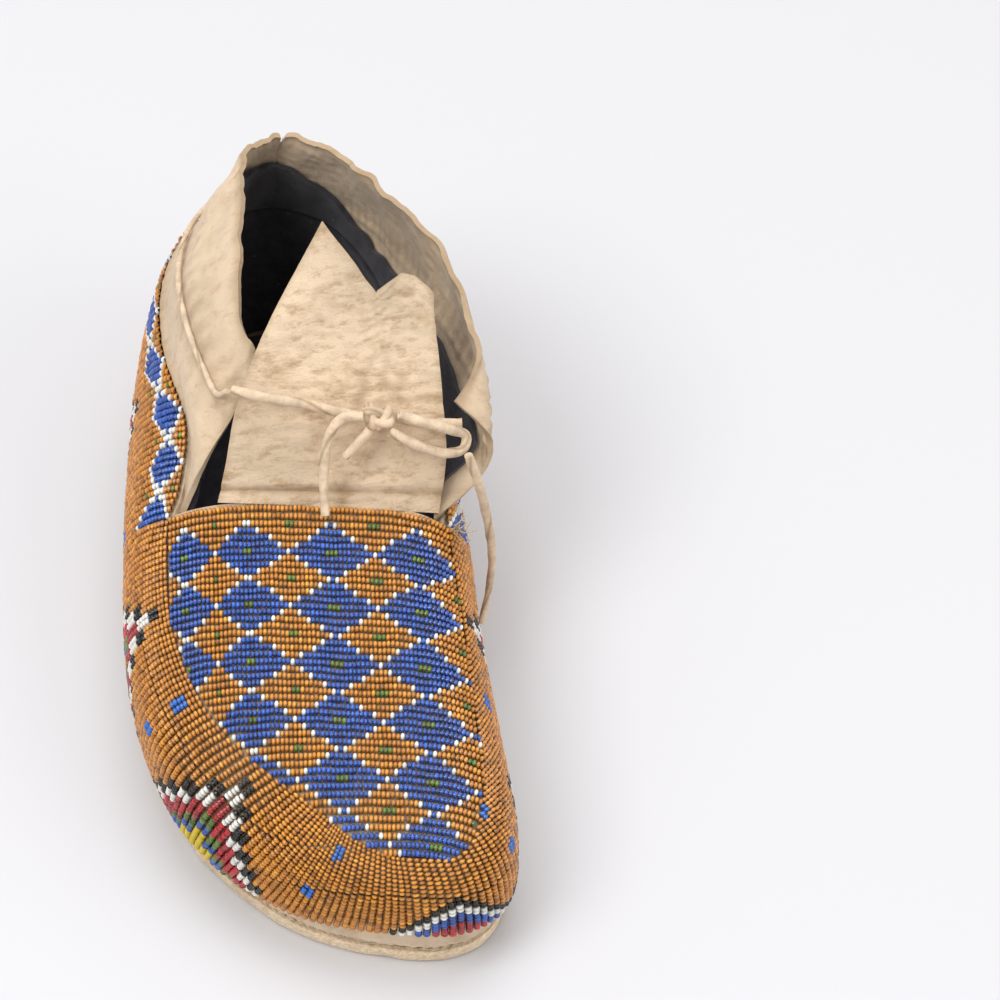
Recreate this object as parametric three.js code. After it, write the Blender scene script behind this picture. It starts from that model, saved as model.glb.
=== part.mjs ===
// Beaded hard-soled moccasin, right foot. Millimetres, +Z up, toe towards -Y, outer side of the foot at -X.
import * as THREE from "three";

// ---------------------------------------------------------------- driving sizes
const SOLE_T = 4.0;          // rawhide sole
const HIDE_T = 1.8;          // upper, tongue and ankle flaps
const FELT_T = 1.5;          // lining
const INSOLE_T = 2.4;        // felt insole
const BEAD_T = 2.0;          // one layer of seed beads
const GAP = 0.3;             // air left between two pieces that touch
const SKIN = GAP + BEAD_T;   // beadwork outer face over the hide
const Z_WIDE = 20;           // height at which the upper is widest
const TUCK = 3.0;            // the wall comes in this much at the sole
const SKEW = 0.2;            // stations run a little back on the outer side
const G_THROAT = -4;         // station of the vamp edge
const FAN = 0.6;             // how far a profile's middle follows its end
const LOW = 0.16;            // share of a profile below the widest line
const BEAD_LOW = 6.2;        // profile length left bare above the sole
const THONG_D = 3.4;         // tie thong
const WRAP_D = 1.7;          // where the tie is pulled flat round the ankle
const TAIL_D = 2.8;
const FRONT = 16, REAR = 15; // profile rows in front of and behind the vamp edge
const FLAP_LIFT = { l: 1.6, m: 2.6 };   // flaps start this far past the opening
const EXP = 1.7;             // rows gather towards toe and heel
const CROWN = 5;             // columns from the shoulder to the ridge

// widest line of the beaded upper, heel, outer side, toe, inner side
const WIDE = [[5, 127.5], [-16, 119.5], [-31, 99], [-39.5, 72], [-44.5, 42], [-48, 12], [-50.5, -20],
  [-49.5, -48], [-43.5, -75], [-32, -97], [-13, -117], [10, -128], [30, -131], [44, -123.5],
  [50, -107], [50, -75], [49.5, -40], [50.5, -8], [49, 28], [45.5, 62], [39.5, 94], [26, 118]];
const RIDGE = [[-85, -60, -30, -4, 30, 80], [46, 48.5, 52.5, 57, 84, 110]];
const SPINE = [[-85, -50, -4, 40, 80], [12, 10, 9, 5, 4]];
const ROUND = { l: [[-126.5, -4, 35, 80, 128.8], [2.8, 2.8, 2.2, 2.25, 2.4]],
  m: [[-126.5, -60, -4, 60, 128.8], [2.8, 3.2, 3.8, 3.2, 2.4]] };
// profile length up to the panel edge in front and up to the opening behind
const SHOULDER = {
  l: [[-126.5, -125, -121, -112, -60, -20, -4, 3, 10, 20, 30, 45, 60, 80, 100, 128.8],
    [37, 39.5, 44, 46, 45.5, 47, 50, 54.5, 58, 62, 64, 63, 61, 59.5, 58, 56]],
  m: [[-126.5, -123, -112, -100, -40, -20, -4, 20, 60, 100, 128.8],
    [37, 36, 40.5, 42, 42.5, 44, 47.5, 50, 52.3, 54.2, 56]] };
// ankle flaps, three points above the opening at each station from vamp edge to heel
const STATIONS = [0, 0.09, 0.18, 0.29, 0.43, 0.61, 0.8, 1];
const FLAP = {
  l: [[[-20.4, 12.2, 64], [-12.5, 20, 71], [-5, 33.5, 81]], [[-24, 22, 68.5], [-16, 29.5, 77], [-7.2, 38, 85]],
    [[-25, 38, 71], [-17.5, 42, 81.5], [-8.3, 46.5, 88]], [[-25.5, 58, 72.5], [-17.5, 59.5, 83], [-6.2, 61, 90.5]],
    [[-23, 80, 72.5], [-15, 79, 83], [-4, 79, 92.5]], [[-15, 101, 72.5], [-10, 98.5, 84], [-2, 96.5, 94.5]],
    [[-3, 114, 73], [-1.5, 111, 84.5], [2, 106.5, 96]], [[9.5, 117.5, 73], [9.5, 114.5, 85], [11, 109, 96.5]]],
  m: [[[54, -1, 55], [58, 5, 65], [48, 11.5, 76]], [[54, 12, 62], [58.5, 15, 72], [56, 20.5, 82]],
    [[52, 26, 65], [57.5, 28, 76], [56, 30, 86.5]], [[49.5, 45, 67], [54.5, 46, 79], [54.5, 48, 90]],
    [[45.5, 67, 69], [48, 67, 82], [46.5, 69, 93.5]], [[38.5, 90, 71], [38, 88.5, 84], [35, 85.5, 96]],
    [[27, 107, 72], [26, 104, 85], [24, 101, 97]], [[9.5, 117.5, 73], [9.5, 114.5, 85], [11, 109, 96.5]]] };

// ---------------------------------------------------------------- curves
function smooth(x, [xs, ys]) {
  const n = xs.length;
  x = Math.min(Math.max(x, xs[0]), xs[n - 1]);
  let i = 0;
  while (i < n - 2 && x > xs[i + 1]) i++;
  const slope = (k) => {
    const a = Math.max(k - 1, 0), b = Math.min(k + 1, n - 1);
    return (ys[b] - ys[a]) / (xs[b] - xs[a]);
  };
  const h = xs[i + 1] - xs[i], t = (x - xs[i]) / h;
  return (2 * t ** 3 - 3 * t ** 2 + 1) * ys[i] + (t ** 3 - 2 * t ** 2 + t) * h * slope(i)
    + (3 * t ** 2 - 2 * t ** 3) * ys[i + 1] + (t ** 3 - t ** 2) * h * slope(i + 1);
}
function linear(x, xs, ys) {
  let i = 0;
  while (i < xs.length - 2 && x > xs[i + 1]) i++;
  const t = Math.min(Math.max((x - xs[i]) / (xs[i + 1] - xs[i]), 0), 1);
  return ys[i] + (ys[i + 1] - ys[i]) * t;
}
function closedSpline(points, per) {
  const n = points.length, out = [];
  for (let i = 0; i < n; i++) for (let k = 0; k < per; k++) {
    const u = k / per, [a, b, c, d] = [-1, 0, 1, 2].map((j) => points[(i + j + n) % n]);
    out.push([0, 1].map((q) => 0.5 * (2 * b[q] + (c[q] - a[q]) * u
      + (2 * a[q] - 5 * b[q] + 4 * c[q] - d[q]) * u * u + (3 * b[q] - a[q] - 3 * c[q] + d[q]) * u ** 3)));
  }
  return out;
}

// ---------------------------------------------------------------- body of the upper
const station = ([x, y]) => y + SKEW * x;
const outline = closedSpline(WIDE, 40);
const heelAt = outline.reduce((b, p, i) => (station(p) > station(outline[b]) ? i : b), 0);
const ring = outline.slice(heelAt).concat(outline.slice(0, heelAt + 1));
const toeAt = ring.reduce((b, p, i) => (station(p) < station(ring[b]) ? i : b), 0);
const half = { l: ring.slice(0, toeAt + 1).reverse(), m: ring.slice(toeAt) };
const G_TOE = station(ring[toeAt]), G_HEEL = station(ring[0]);

function edgePoint(g, side) {
  const h = half[side], gs = h.map(station);
  return [linear(g, gs, h.map((p) => p[0])), linear(g, gs, h.map((p) => p[1]))];
}
function profile(g, side) {
  const e = edgePoint(g, side), cg = G_THROAT + FAN * (g - G_THROAT), cx = smooth(cg, SPINE);
  const c = [cx, cg - SKEW * cx], top = smooth(cg, RIDGE), n = smooth(g, ROUND[side]);
  const R = Math.hypot(e[0] - c[0], e[1] - c[1]), d = [(e[0] - c[0]) / R, (e[1] - c[1]) / R];
  const at = (v, off) => {
    const q = Math.max(1 - v / LOW, 0), ph = Math.max((v - LOW) / (1 - LOW), 0) * Math.PI / 2;
    const r = v < LOW ? R - SKIN + off - TUCK * q * q
      : (R - SKIN + off) * Math.max(Math.cos(ph), 0) ** (2 / n);
    const z = v < LOW ? Z_WIDE - (Z_WIDE - SOLE_T - GAP) * q
      : Z_WIDE + (top + off - Z_WIDE) * Math.sin(ph) ** (2 / n);
    return [c[0] + d[0] * r, c[1] + d[1] * r, z];
  };
  const vs = [0], arcs = [0];
  for (let k = 1; k <= 90; k++) {
    const a = at((k - 1) / 90, 0), b = at(k / 90, 0);
    vs.push(k / 90);
    arcs.push(arcs[k - 1] + Math.hypot(b[0] - a[0], b[1] - a[1], b[2] - a[2]));
  }
  return { d, at, full: arcs[90], along: (s, off) => at(linear(s, arcs, vs), off), v: (s) => linear(s, arcs, vs) };
}
const frontG = (s) => G_TOE + (G_THROAT - G_TOE) * s ** EXP;
const rearG = (t) => G_HEEL - (G_HEEL - G_THROAT) * (1 - t) ** EXP;
const rowG = (i) => (i <= FRONT ? frontG(i / FRONT) : rearG((i - FRONT) / REAR));
const rows = { l: [], m: [] };
for (const side of ["l", "m"]) for (let i = 0; i <= FRONT + REAR; i++) {
  const p = profile(rowG(i), side);
  p.S = smooth(rowG(i), SHOULDER[side]);
  rows[side].push(p);
}
// columns 0..7 climb from the sole to the shoulder, the rest go on to the ridge
const COLS = 7;
function wall(side, i, j, off) {
  const p = rows[side][i];
  if (j === 0) return p.along(0, off);
  if (j <= COLS) return p.along(BEAD_LOW + (p.S - BEAD_LOW) * (j - 1) / (COLS - 1), off);
  const v0 = p.v(p.S);
  return p.at(v0 + (1 - v0) * (j - COLS) / CROWN, off);
}

// ---------------------------------------------------------------- closed skins
class Skin {
  constructor() { this.key = new Map(); this.a = []; this.b = []; this.faces = []; }
  add(outer, inner) {
    const k = outer.map((x) => Math.round(x * 2000)).join();
    if (!this.key.has(k)) { this.key.set(k, this.a.length); this.a.push(outer); this.b.push(inner); }
    return this.key.get(k);
  }
  quad(p, q, r, s) {
    const f = [p, q, r, s].filter((x, i, all) => x !== all[(i + 1) % all.length]);
    if (f.length > 2) this.faces.push(f);
  }
  grid(nu, nv, outer, inner, flip) {
    const id = (i, j) => this.add(outer(i, j), inner(i, j));
    for (let i = 0; i < nu; i++) for (let j = 0; j < nv; j++) {
      const q = [id(i, j), id(i + 1, j), id(i + 1, j + 1), id(i, j + 1)];
      this.quad(...(flip ? q.reverse() : q));
    }
  }
  close() {
    const n = this.a.length, tri = [], edges = new Map();
    for (const f of this.faces) {
      for (let k = 1; k < f.length - 1; k++) {
        tri.push(f[0], f[k], f[k + 1], n + f[0], n + f[k + 1], n + f[k]);
      }
      f.forEach((v, k) => edges.set(v + "_" + f[(k + 1) % f.length], [v, f[(k + 1) % f.length]]));
    }
    for (const [v, w] of edges.values()) if (!edges.has(w + "_" + v)) {
      tri.push(w, v, n + v, w, n + v, n + w);
    }
    return solid(this.a.concat(this.b), tri);
  }
}
function solid(points, tri) {
  let vol = 0;
  for (let k = 0; k < tri.length; k += 3) {
    const [a, b, c] = [points[tri[k]], points[tri[k + 1]], points[tri[k + 2]]];
    vol += a[0] * (b[1] * c[2] - b[2] * c[1]) + a[1] * (b[2] * c[0] - b[0] * c[2])
      + a[2] * (b[0] * c[1] - b[1] * c[0]);
  }
  if (vol < 0) for (let k = 0; k < tri.length; k += 3) [tri[k], tri[k + 1]] = [tri[k + 1], tri[k]];
  const g = new THREE.BufferGeometry();
  g.setAttribute("position", new THREE.Float32BufferAttribute(points.flat(), 3));
  g.setIndex(tri);
  g.computeVertexNormals();
  return g;
}
// a flat plate; its rungs join the outer edge to the inner edge from toe to heel
function plate(edge, z0, z1) {
  const n = FRONT + REAR, pts = [], tri = [], id = {};
  for (const z of [z0, z1]) {
    const left = rows.l.map((p) => pts.push([...edge(p), z]) - 1);
    const right = rows.m.map((p, i) => (i % n ? pts.push([...edge(p), z]) - 1 : left[i]));
    id[z] = [left, right];
  }
  const quad = (a, b, c, d) => [[a, b, c], [a, c, d]].forEach((t) => new Set(t).size === 3 && tri.push(...t));
  const [[l0, r0], [l1, r1]] = [id[z0], id[z1]];
  for (let i = 0; i < n; i++) {
    quad(l0[i], l0[i + 1], r0[i + 1], r0[i]);
    quad(r1[i], r1[i + 1], l1[i + 1], l1[i]);
    quad(l1[i], l1[i + 1], l0[i + 1], l0[i]);
    quad(r0[i], r0[i + 1], r1[i + 1], r1[i]);
  }
  return solid(pts, tri);
}
function normalOf(f, u, v, h = 1e-3) {
  const a = f(u + h, v), b = f(u - h, v), c = f(u, v + h), d = f(u, v - h);
  const p = new THREE.Vector3(a[0] - b[0], a[1] - b[1], a[2] - b[2]);
  const q = new THREE.Vector3(c[0] - d[0], c[1] - d[1], c[2] - d[2]);
  return p.cross(q).normalize();
}
const shift = (p, n, k) => [p[0] + n.x * k, p[1] + n.y * k, p[2] + n.z * k];

// ---------------------------------------------------------------- ankle flaps
// t runs from the vamp edge to the heel, w from the opening up to the rim
function openingPoint(side, t) {
  const g = rearG(Math.min(Math.max(t, 0), 1)), p = profile(g, side);
  const lift = FLAP_LIFT[side] + (FLAP_LIFT.l - FLAP_LIFT[side]) * t * t;
  return p.along(smooth(g, SHOULDER[side]) + lift, -HIDE_T / 2);
}
function flapPoint(side, t, w) {
  const base = openingPoint(side, t);
  const net = [base, ...[0, 1, 2].map((r) => [0, 1, 2].map((q) =>
    smooth(t, [STATIONS, FLAP[side].map((s) => s[r][q])])))];
  return [0, 1, 2].map((q) => smooth(w, [[0, 0.33, 0.66, 1], net.map((p) => p[q])]));
}
// outward normal of a flap; the two sides share one at the heel seam
function flapNormal(side, t, w) {
  const one = (s) => normalOf((a, b) => flapPoint(s, a, b), Math.min(Math.max(t, 0.002), 0.998),
    Math.min(Math.max(w, 0.002), 0.998)).multiplyScalar(s === "l" ? -1 : 1);
  return t < 0.9999 ? one(side) : one("l").add(one("m")).normalize();
}
function flapSkin(side, t0, t1, w0, w1, nt, nw, out, inn) {
  const skin = new Skin();
  const cache = new Map();
  const get = (i, j) => {
    const k = i + "_" + j;
    if (!cache.has(k)) {
      const t = t0 + (t1 - t0) * i / nt, w = w0(t) + (w1(t) - w0(t)) * j / nw;
      cache.set(k, [flapPoint(side, t, w), flapNormal(side, t, w)]);
    }
    return cache.get(k);
  };
  skin.grid(nt, nw, (i, j) => shift(...get(i, j), out), (i, j) => shift(...get(i, j), inn), false);
  return skin;
}
// the tie presses the flap in along this line, and the loose cuff folds out over it
const foldW = (t) => smooth(t, [[0, 0.12, 0.3, 0.6, 1], [0.76, 0.72, 0.61, 0.45, 0.36]]);
const CUT = 0.02;
const zero = () => 0, one = () => 1;
function anklePiece(side, cuff) {
  return flapSkin(side, 0.012, cuff ? 0.984 : 0.994, cuff ? (t) => foldW(t) + CUT : zero, cuff ? one : (t) => foldW(t) - CUT,
    14, 3, HIDE_T / 2, -HIDE_T / 2).close();
}

// ---------------------------------------------------------------- tongue
// u runs across from the outer to the inner edge, v from the vamp edge to the tips
const TONGUE_LEFT = [[-20.4, 1.6, 56.2], [-16.8, 9, 64.6], [-12, 20, 77], [-1, 34, 93.8], [16.5, 50.5, 115.3]];
const TONGUE_RIGHT = [[41.5, -9.2, 54], [45, 1.5, 66], [45.6, 12, 77.5], [45.5, 23, 88.5], [45.5, 33.6, 99]];
const TIP_U = [0, 0.22, 0.42, 0.5, 0.62, 0.74, 0.87, 1];
const TIP = [[16.5, 50.5, 115.3], [22, 43.8, 109.5], [27, 37.4, 103.3], [29.6, 34.4, 100.3],
  [34.5, 36.5, 102.4], [37.6, 38, 104], [41, 37, 103.2], [45.5, 33.6, 99]];
const TONGUE_SPLIT = 0.50;
function tonguePoint(u, v) {
  const side = (pts) => [0, 1, 2].map((q) => smooth(v, [[0, 0.2, 0.42, 0.7, 1], pts.map((p) => p[q])]));
  const a = side(TONGUE_LEFT), b = side(TONGUE_RIGHT);
  const straight = [0, 1, 2].map((q) => a[q] + (b[q] - a[q]) * u);
  const tip = [0, 1, 2].map((q) => linear(u, TIP_U, TIP.map((p) => p[q])));
  const flat = [0, 1, 2].map((q) => TIP[0][q] + (TIP[7][q] - TIP[0][q]) * u);
  const k = v ** 2.2, arch = 4 * u * (1 - u) * (1 - v) ** 0.5;
  return [straight[0] + (tip[0] - flat[0]) * k, straight[1] + (tip[1] - flat[1]) * k - 1.2 * arch,
    straight[2] + (tip[2] - flat[2]) * k + 1.8 * arch];
}
function tonguePiece(v0, v1, nv) {
  const skin = new Skin(), us = [0, 0.11, 0.22, 0.32, 0.42, 0.5, 0.62, 0.74, 0.87, 1];
  const at = (i, j) => {
    const u = us[i], v = v0 + (v1 - v0) * j / nv;
    const n = normalOf(tonguePoint, Math.min(Math.max(u, 0.002), 0.998), Math.min(Math.max(v, 0.002), 0.998));
    return [tonguePoint(u, v), n];
  };
  skin.grid(9, nv, (i, j) => shift(...at(i, j), HIDE_T / 2), (i, j) => shift(...at(i, j), -HIDE_T / 2), false);
  return skin.close();
}

// ---------------------------------------------------------------- tie thong
function cord(points, dia, steps) {
  const curve = new THREE.CatmullRomCurve3(points.map((p) => new THREE.Vector3(...p)), false, "centripetal");
  const n = 8, shape = new THREE.Shape();
  for (let k = 0; k < n; k++) {
    const a = (k + 0.5) / n * 2 * Math.PI, x = dia / 2 * Math.cos(a), y = dia / 2 * Math.sin(a);
    if (k) shape.lineTo(x, y); else shape.moveTo(x, y);
  }
  shape.closePath();
  return new THREE.ExtrudeGeometry(shape, { steps, bevelEnabled: false, extrudePath: curve });
}
// the wrap runs outside a flap, just under the cuff's fold
function wrapPoint(side, t) {
  const w = foldW(t) - 0.14;
  return shift(flapPoint(side, t, w), flapNormal(side, t, w), HIDE_T / 2 + GAP + WRAP_D / 2 + 0.3);
}
function wrapRoute(side, t0, t1, n) {
  return Array.from({ length: n + 1 }, (_, i) => wrapPoint(side, t0 + (t1 - t0) * i / n));
}
const SPAN_OUTER = [[-13.5, 19.5, 82.5], [-5, 15.5, 82.5], [6, 11.5, 82.5], [15, 8.5, 80.8], [20.5, 7, 80]];
const SPAN_INNER = [[31.5, 5.5, 79], [38, 4.5, 77.2], [45, 4.5, 76], [50, 4, 76]];
const KNOT = [26, 6.2, 79.5];
const BOW = [[29, 1.5, 78], [36, -1.2, 74.5], [44, -3, 71.8], [49.5, -2.2, 72], [50.5, 0.2, 74.6],
  [46.5, -0.4, 78.2], [39, 0.6, 81], [32.2, 3.0, 82.6]];
const LONG_TAIL = [[22, 3.5, 83], [16.5, 4.2, 82.6], [12.3, 1.8, 79], [10, -3, 73], [9, -8.6, 65.2], [9, -13, 61.5]];
const SHORT_TAIL = [[23.5, 1.8, 79], [19.5, -0.2, 75.5], [16, -1.4, 72.5]];
const HANGING_TAIL = [[50.5, -5.6, 72.5], [53.4, -7.6, 61], [55.7, -8, 47], [56.6, -9.2, 33], [55.4, -10.6, 21],
  [52.4, -16, 13.5]];

// ---------------------------------------------------------------- sub-parts
const hideCream = () => new THREE.MeshStandardMaterial({ color: 0xd9c7a6, roughness: 0.9, metalness: 0 });
const rawhide = () => new THREE.MeshStandardMaterial({ color: 0xc9b48c, roughness: 0.75, metalness: 0 });
const felt = () => new THREE.MeshStandardMaterial({ color: 0x16171c, roughness: 1, metalness: 0 });
const amber = () => new THREE.MeshStandardMaterial({ color: 0xa8651c, roughness: 0.25, metalness: 0 });
const blue = () => new THREE.MeshStandardMaterial({ color: 0x1f3fae, roughness: 0.25, metalness: 0 });
const thong = () => new THREE.MeshStandardMaterial({ color: 0xd8c19a, roughness: 0.9, metalness: 0 });

function soleGeometry() {
  return plate((p) => p.at(0, 0.8).slice(0, 2), 0, SOLE_T);
}
function insoleGeometry() {
  return plate((p) => p.at(0, -HIDE_T - 0.6).slice(0, 2), SOLE_T + GAP, SOLE_T + GAP + INSOLE_T);
}
function upperGeometry() {
  const skin = new Skin(), n = FRONT + REAR;
  for (const side of ["l", "m"]) {
    skin.grid(n, COLS, (i, j) => wall(side, i, j, 0), (i, j) => wall(side, i, j, -HIDE_T), side === "m");
    skin.grid(FRONT, CROWN, (i, j) => wall(side, i, COLS + j, 0), (i, j) => wall(side, i, COLS + j, -HIDE_T),
      side === "m");
  }
  return skin.close();
}
const FELT_OUT = -HIDE_T - 0.45;
function liningGeometry() {
  const skin = new Skin(), n = FRONT + REAR, a = FELT_OUT, b = a - FELT_T;
  const low = (side, i, j, off) => (j === 0 ? rows[side][i].along(4.0, off) : wall(side, i, j, off));
  for (const side of ["l", "m"]) {
    skin.grid(n, COLS, (i, j) => low(side, i, j, a), (i, j) => low(side, i, j, b), side === "m");
    skin.grid(FRONT, CROWN, (i, j) => wall(side, i, COLS + j, a), (i, j) => wall(side, i, COLS + j, b),
      side === "m");
  }
  return skin.close();
}
// the lining goes on up inside the ankle flaps to just under the cuffs' fold
function bandGeometry() {
  const out = FELT_OUT - 0.45;
  const skin = new Skin(), at = (side, i, j, off) => {
    const t = (i + 1) / REAR, w = 0.05 + (foldW(t) - 0.16 - 0.05) * j / 4;
    return shift(flapPoint(side, t, w), flapNormal(side, t, w), off + HIDE_T / 2);
  };
  for (const side of ["l", "m"]) {
    skin.grid(REAR - 1, 4, (i, j) => at(side, i, j, out), (i, j) => at(side, i, j, out - FELT_T), side === "m");
  }
  return skin.close();
}
// a lane of beadwork between two columns, held short of its neighbours
const LANE_CUT = 0.25, END_CUT = 0.25, SEAM_MARGIN = 2.6;
function laneGeometry(side, c0, c1) {
  const skin = new Skin(), n = FRONT + REAR;
  const s = (p, c) => BEAD_LOW + (p.S - BEAD_LOW) * (c - 1) / (COLS - 1);
  const at = (i, j, off) => {
    let p = rows[side][i];
    if (i === 0) p = { ...profile(frontG(0.004), side), S: p.S };
    if (i === n) p = { ...profile(rearG(0.996), side), S: p.S };
    const g = rowG(i), c = c0 + j;
    let arc = s(p, c);
    if (j === 0) arc += LANE_CUT;
    if (c === c1) arc -= c === COLS && i > FRONT - 2 ? SEAM_MARGIN : LANE_CUT;
    return p.along(arc, off);
  };
  skin.grid(n, c1 - c0, (i, j) => at(i, j, SKIN), (i, j) => at(i, j, GAP), side === "m");
  return skin.close();
}
function vampGeometry() {
  const skin = new Skin();
  const at = (side, i, j, off) => {
    if (j > 0) return wall(side, i, COLS + j, off);
    const p = rows[side][i];
    return p.along(p.S + LANE_CUT, off);
  };
  for (const side of ["l", "m"]) {
    skin.grid(FRONT, CROWN, (i, j) => at(side, i, j, SKIN), (i, j) => at(side, i, j, GAP), side === "m");
  }
  return skin.close();
}
function knotGeometry() {
  const g = new THREE.IcosahedronGeometry(1, 2);
  g.scale(5.6, 3.4, 3.2);
  g.rotateX(0.75);
  g.rotateZ(-0.15);
  g.translate(...KNOT);
  return g;
}

const group = new THREE.Group();
function put(name, geometry, material) {
  const mesh = new THREE.Mesh(geometry, material);
  mesh.name = name;
  group.add(mesh);
}
put("rawhide_sole", soleGeometry(), rawhide());
put("upper_hide", upperGeometry(), hideCream());
put("felt_insole", insoleGeometry(), felt());
put("felt_lining", liningGeometry(), felt());
put("felt_ankle_band", bandGeometry(), felt());
put("vamp_beadwork", vampGeometry(), blue());
for (const [side, word] of [["l", "lateral"], ["m", "medial"]]) {
  put(word + "_lower_bead_lane", laneGeometry(side, 1, 3), amber());
  put(word + "_middle_bead_lane", laneGeometry(side, 3, 5), amber());
  put(word + "_upper_bead_lane", laneGeometry(side, 5, 7), amber());
  put(word + "_ankle_flap", anklePiece(side, false), hideCream());
  put(word + "_cuff", anklePiece(side, true), hideCream());
}
put("tongue_base", tonguePiece(0, TONGUE_SPLIT - 0.004, 4), hideCream());
put("tongue_tip", tonguePiece(TONGUE_SPLIT + 0.004, 1, 5), hideCream());
put("thong_outer_wrap", cord(wrapRoute("l", 0.04, 0.97, 12), WRAP_D, 22), thong());
put("thong_inner_wrap", cord(wrapRoute("m", 0.12, 0.97, 12), WRAP_D, 22), thong());
put("thong_outer_span", cord(SPAN_OUTER, THONG_D, 8), thong());
put("thong_inner_span", cord(SPAN_INNER, THONG_D, 5), thong());
put("thong_knot", knotGeometry(), thong());
put("thong_bow_loop", cord(BOW, THONG_D, 14), thong());
put("thong_long_tail", cord(LONG_TAIL, THONG_D, 9), thong());
put("thong_short_tail", cord(SHORT_TAIL, THONG_D, 4), thong());
put("thong_hanging_tail", cord(HANGING_TAIL, TAIL_D, 12), thong());

const box = new THREE.Box3();
group.children.filter((m) => !m.name.startsWith("thong_")).forEach((m) => {
  m.geometry.computeBoundingBox();
  box.union(m.geometry.boundingBox);
});
const mid = box.getCenter(new THREE.Vector3());
group.children.forEach((m) => m.geometry.translate(-mid.x, -mid.y, 0));

export default group;
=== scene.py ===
"""Beaded hard-soled moccasin for the right foot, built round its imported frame.

Every shape is worked out in millimetres in the maker's own axes (toe to -Y, outer side of the foot at -X,
up +Z) and is put into the row frame by place(). A station is y + 0.2 x, because the rows of beads run a
little back on the outer side of the foot.
"""
import math

import bmesh
import bpy
import numpy as np
from bpy.props import FloatProperty, FloatVectorProperty, IntProperty, PointerProperty
from mathutils import Matrix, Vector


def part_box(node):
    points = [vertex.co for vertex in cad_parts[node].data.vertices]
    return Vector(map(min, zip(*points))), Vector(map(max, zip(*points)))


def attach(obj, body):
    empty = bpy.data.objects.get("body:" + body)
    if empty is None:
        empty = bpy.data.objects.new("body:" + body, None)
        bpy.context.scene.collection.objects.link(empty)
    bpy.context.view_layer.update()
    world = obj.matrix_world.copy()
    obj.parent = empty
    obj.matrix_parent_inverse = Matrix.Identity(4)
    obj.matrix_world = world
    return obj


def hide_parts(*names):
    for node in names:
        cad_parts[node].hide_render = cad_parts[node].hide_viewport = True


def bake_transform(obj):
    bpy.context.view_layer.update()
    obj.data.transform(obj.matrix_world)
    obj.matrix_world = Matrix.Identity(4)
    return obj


bl_info = {
    "name": "Beaded moccasin",
    "version": (1, 0, 0),
    "blender": (4, 5, 0),
    "location": "3D View > Sidebar > Moccasin",
    "description": "Builds a fully beaded, hard-soled hide moccasin",
    "category": "Add Mesh",
}

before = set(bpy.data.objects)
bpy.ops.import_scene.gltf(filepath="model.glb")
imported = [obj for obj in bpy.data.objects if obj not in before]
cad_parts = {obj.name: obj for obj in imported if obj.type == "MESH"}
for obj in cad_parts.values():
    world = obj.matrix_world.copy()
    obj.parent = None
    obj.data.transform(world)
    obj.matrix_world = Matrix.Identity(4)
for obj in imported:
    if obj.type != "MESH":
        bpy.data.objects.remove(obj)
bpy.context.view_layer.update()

# ---------------------------------------------------------------- sizes shared with the frame, in millimetres
SOLE_T, HIDE_T, FELT_T, INSOLE_T, BEAD_T, GAP = 4.0, 1.8, 1.5, 2.4, 2.0, 0.3
SKIN = GAP + BEAD_T
Z_WIDE, TUCK, SKEW, G_THROAT, FAN, LOW = 20.0, 3.0, 0.2, -4.0, 0.6, 0.16
LIFT = {"l": 1.6, "m": 2.6}
OUT = {"l": -1.0, "m": 1.0}
WIDE = [(5, 127.5), (-16, 119.5), (-31, 99), (-39.5, 72), (-44.5, 42), (-48, 12), (-50.5, -20), (-49.5, -48),
        (-43.5, -75), (-32, -97), (-13, -117), (10, -128), (30, -131), (44, -123.5), (50, -107), (50, -75),
        (49.5, -40), (50.5, -8), (49, 28), (45.5, 62), (39.5, 94), (26, 118)]
RIDGE = [[-85, -60, -30, -4, 30, 80], [46, 48.5, 52.5, 57, 84, 110]]
SPINE = [[-85, -50, -4, 40, 80], [12, 10, 9, 5, 4]]
ROUND = {"l": [[-126.5, -4, 35, 80, 128.8], [2.8, 2.8, 2.2, 2.25, 2.4]],
         "m": [[-126.5, -60, -4, 60, 128.8], [2.8, 3.2, 3.8, 3.2, 2.4]]}
SHOULDER = {
    "l": [[-126.5, -125, -121, -112, -60, -20, -4, 3, 10, 20, 30, 45, 60, 80, 100, 128.8],
          [37, 39.5, 44, 46, 45.5, 47, 50, 54.5, 58, 62, 64, 63, 61, 59.5, 58, 56]],
    "m": [[-126.5, -123, -112, -100, -40, -20, -4, 20, 60, 100, 128.8],
          [37, 36, 40.5, 42, 42.5, 44, 47.5, 50, 52.3, 54.2, 56]]}
STATIONS = [0, 0.09, 0.18, 0.29, 0.43, 0.61, 0.8, 1]
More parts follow.
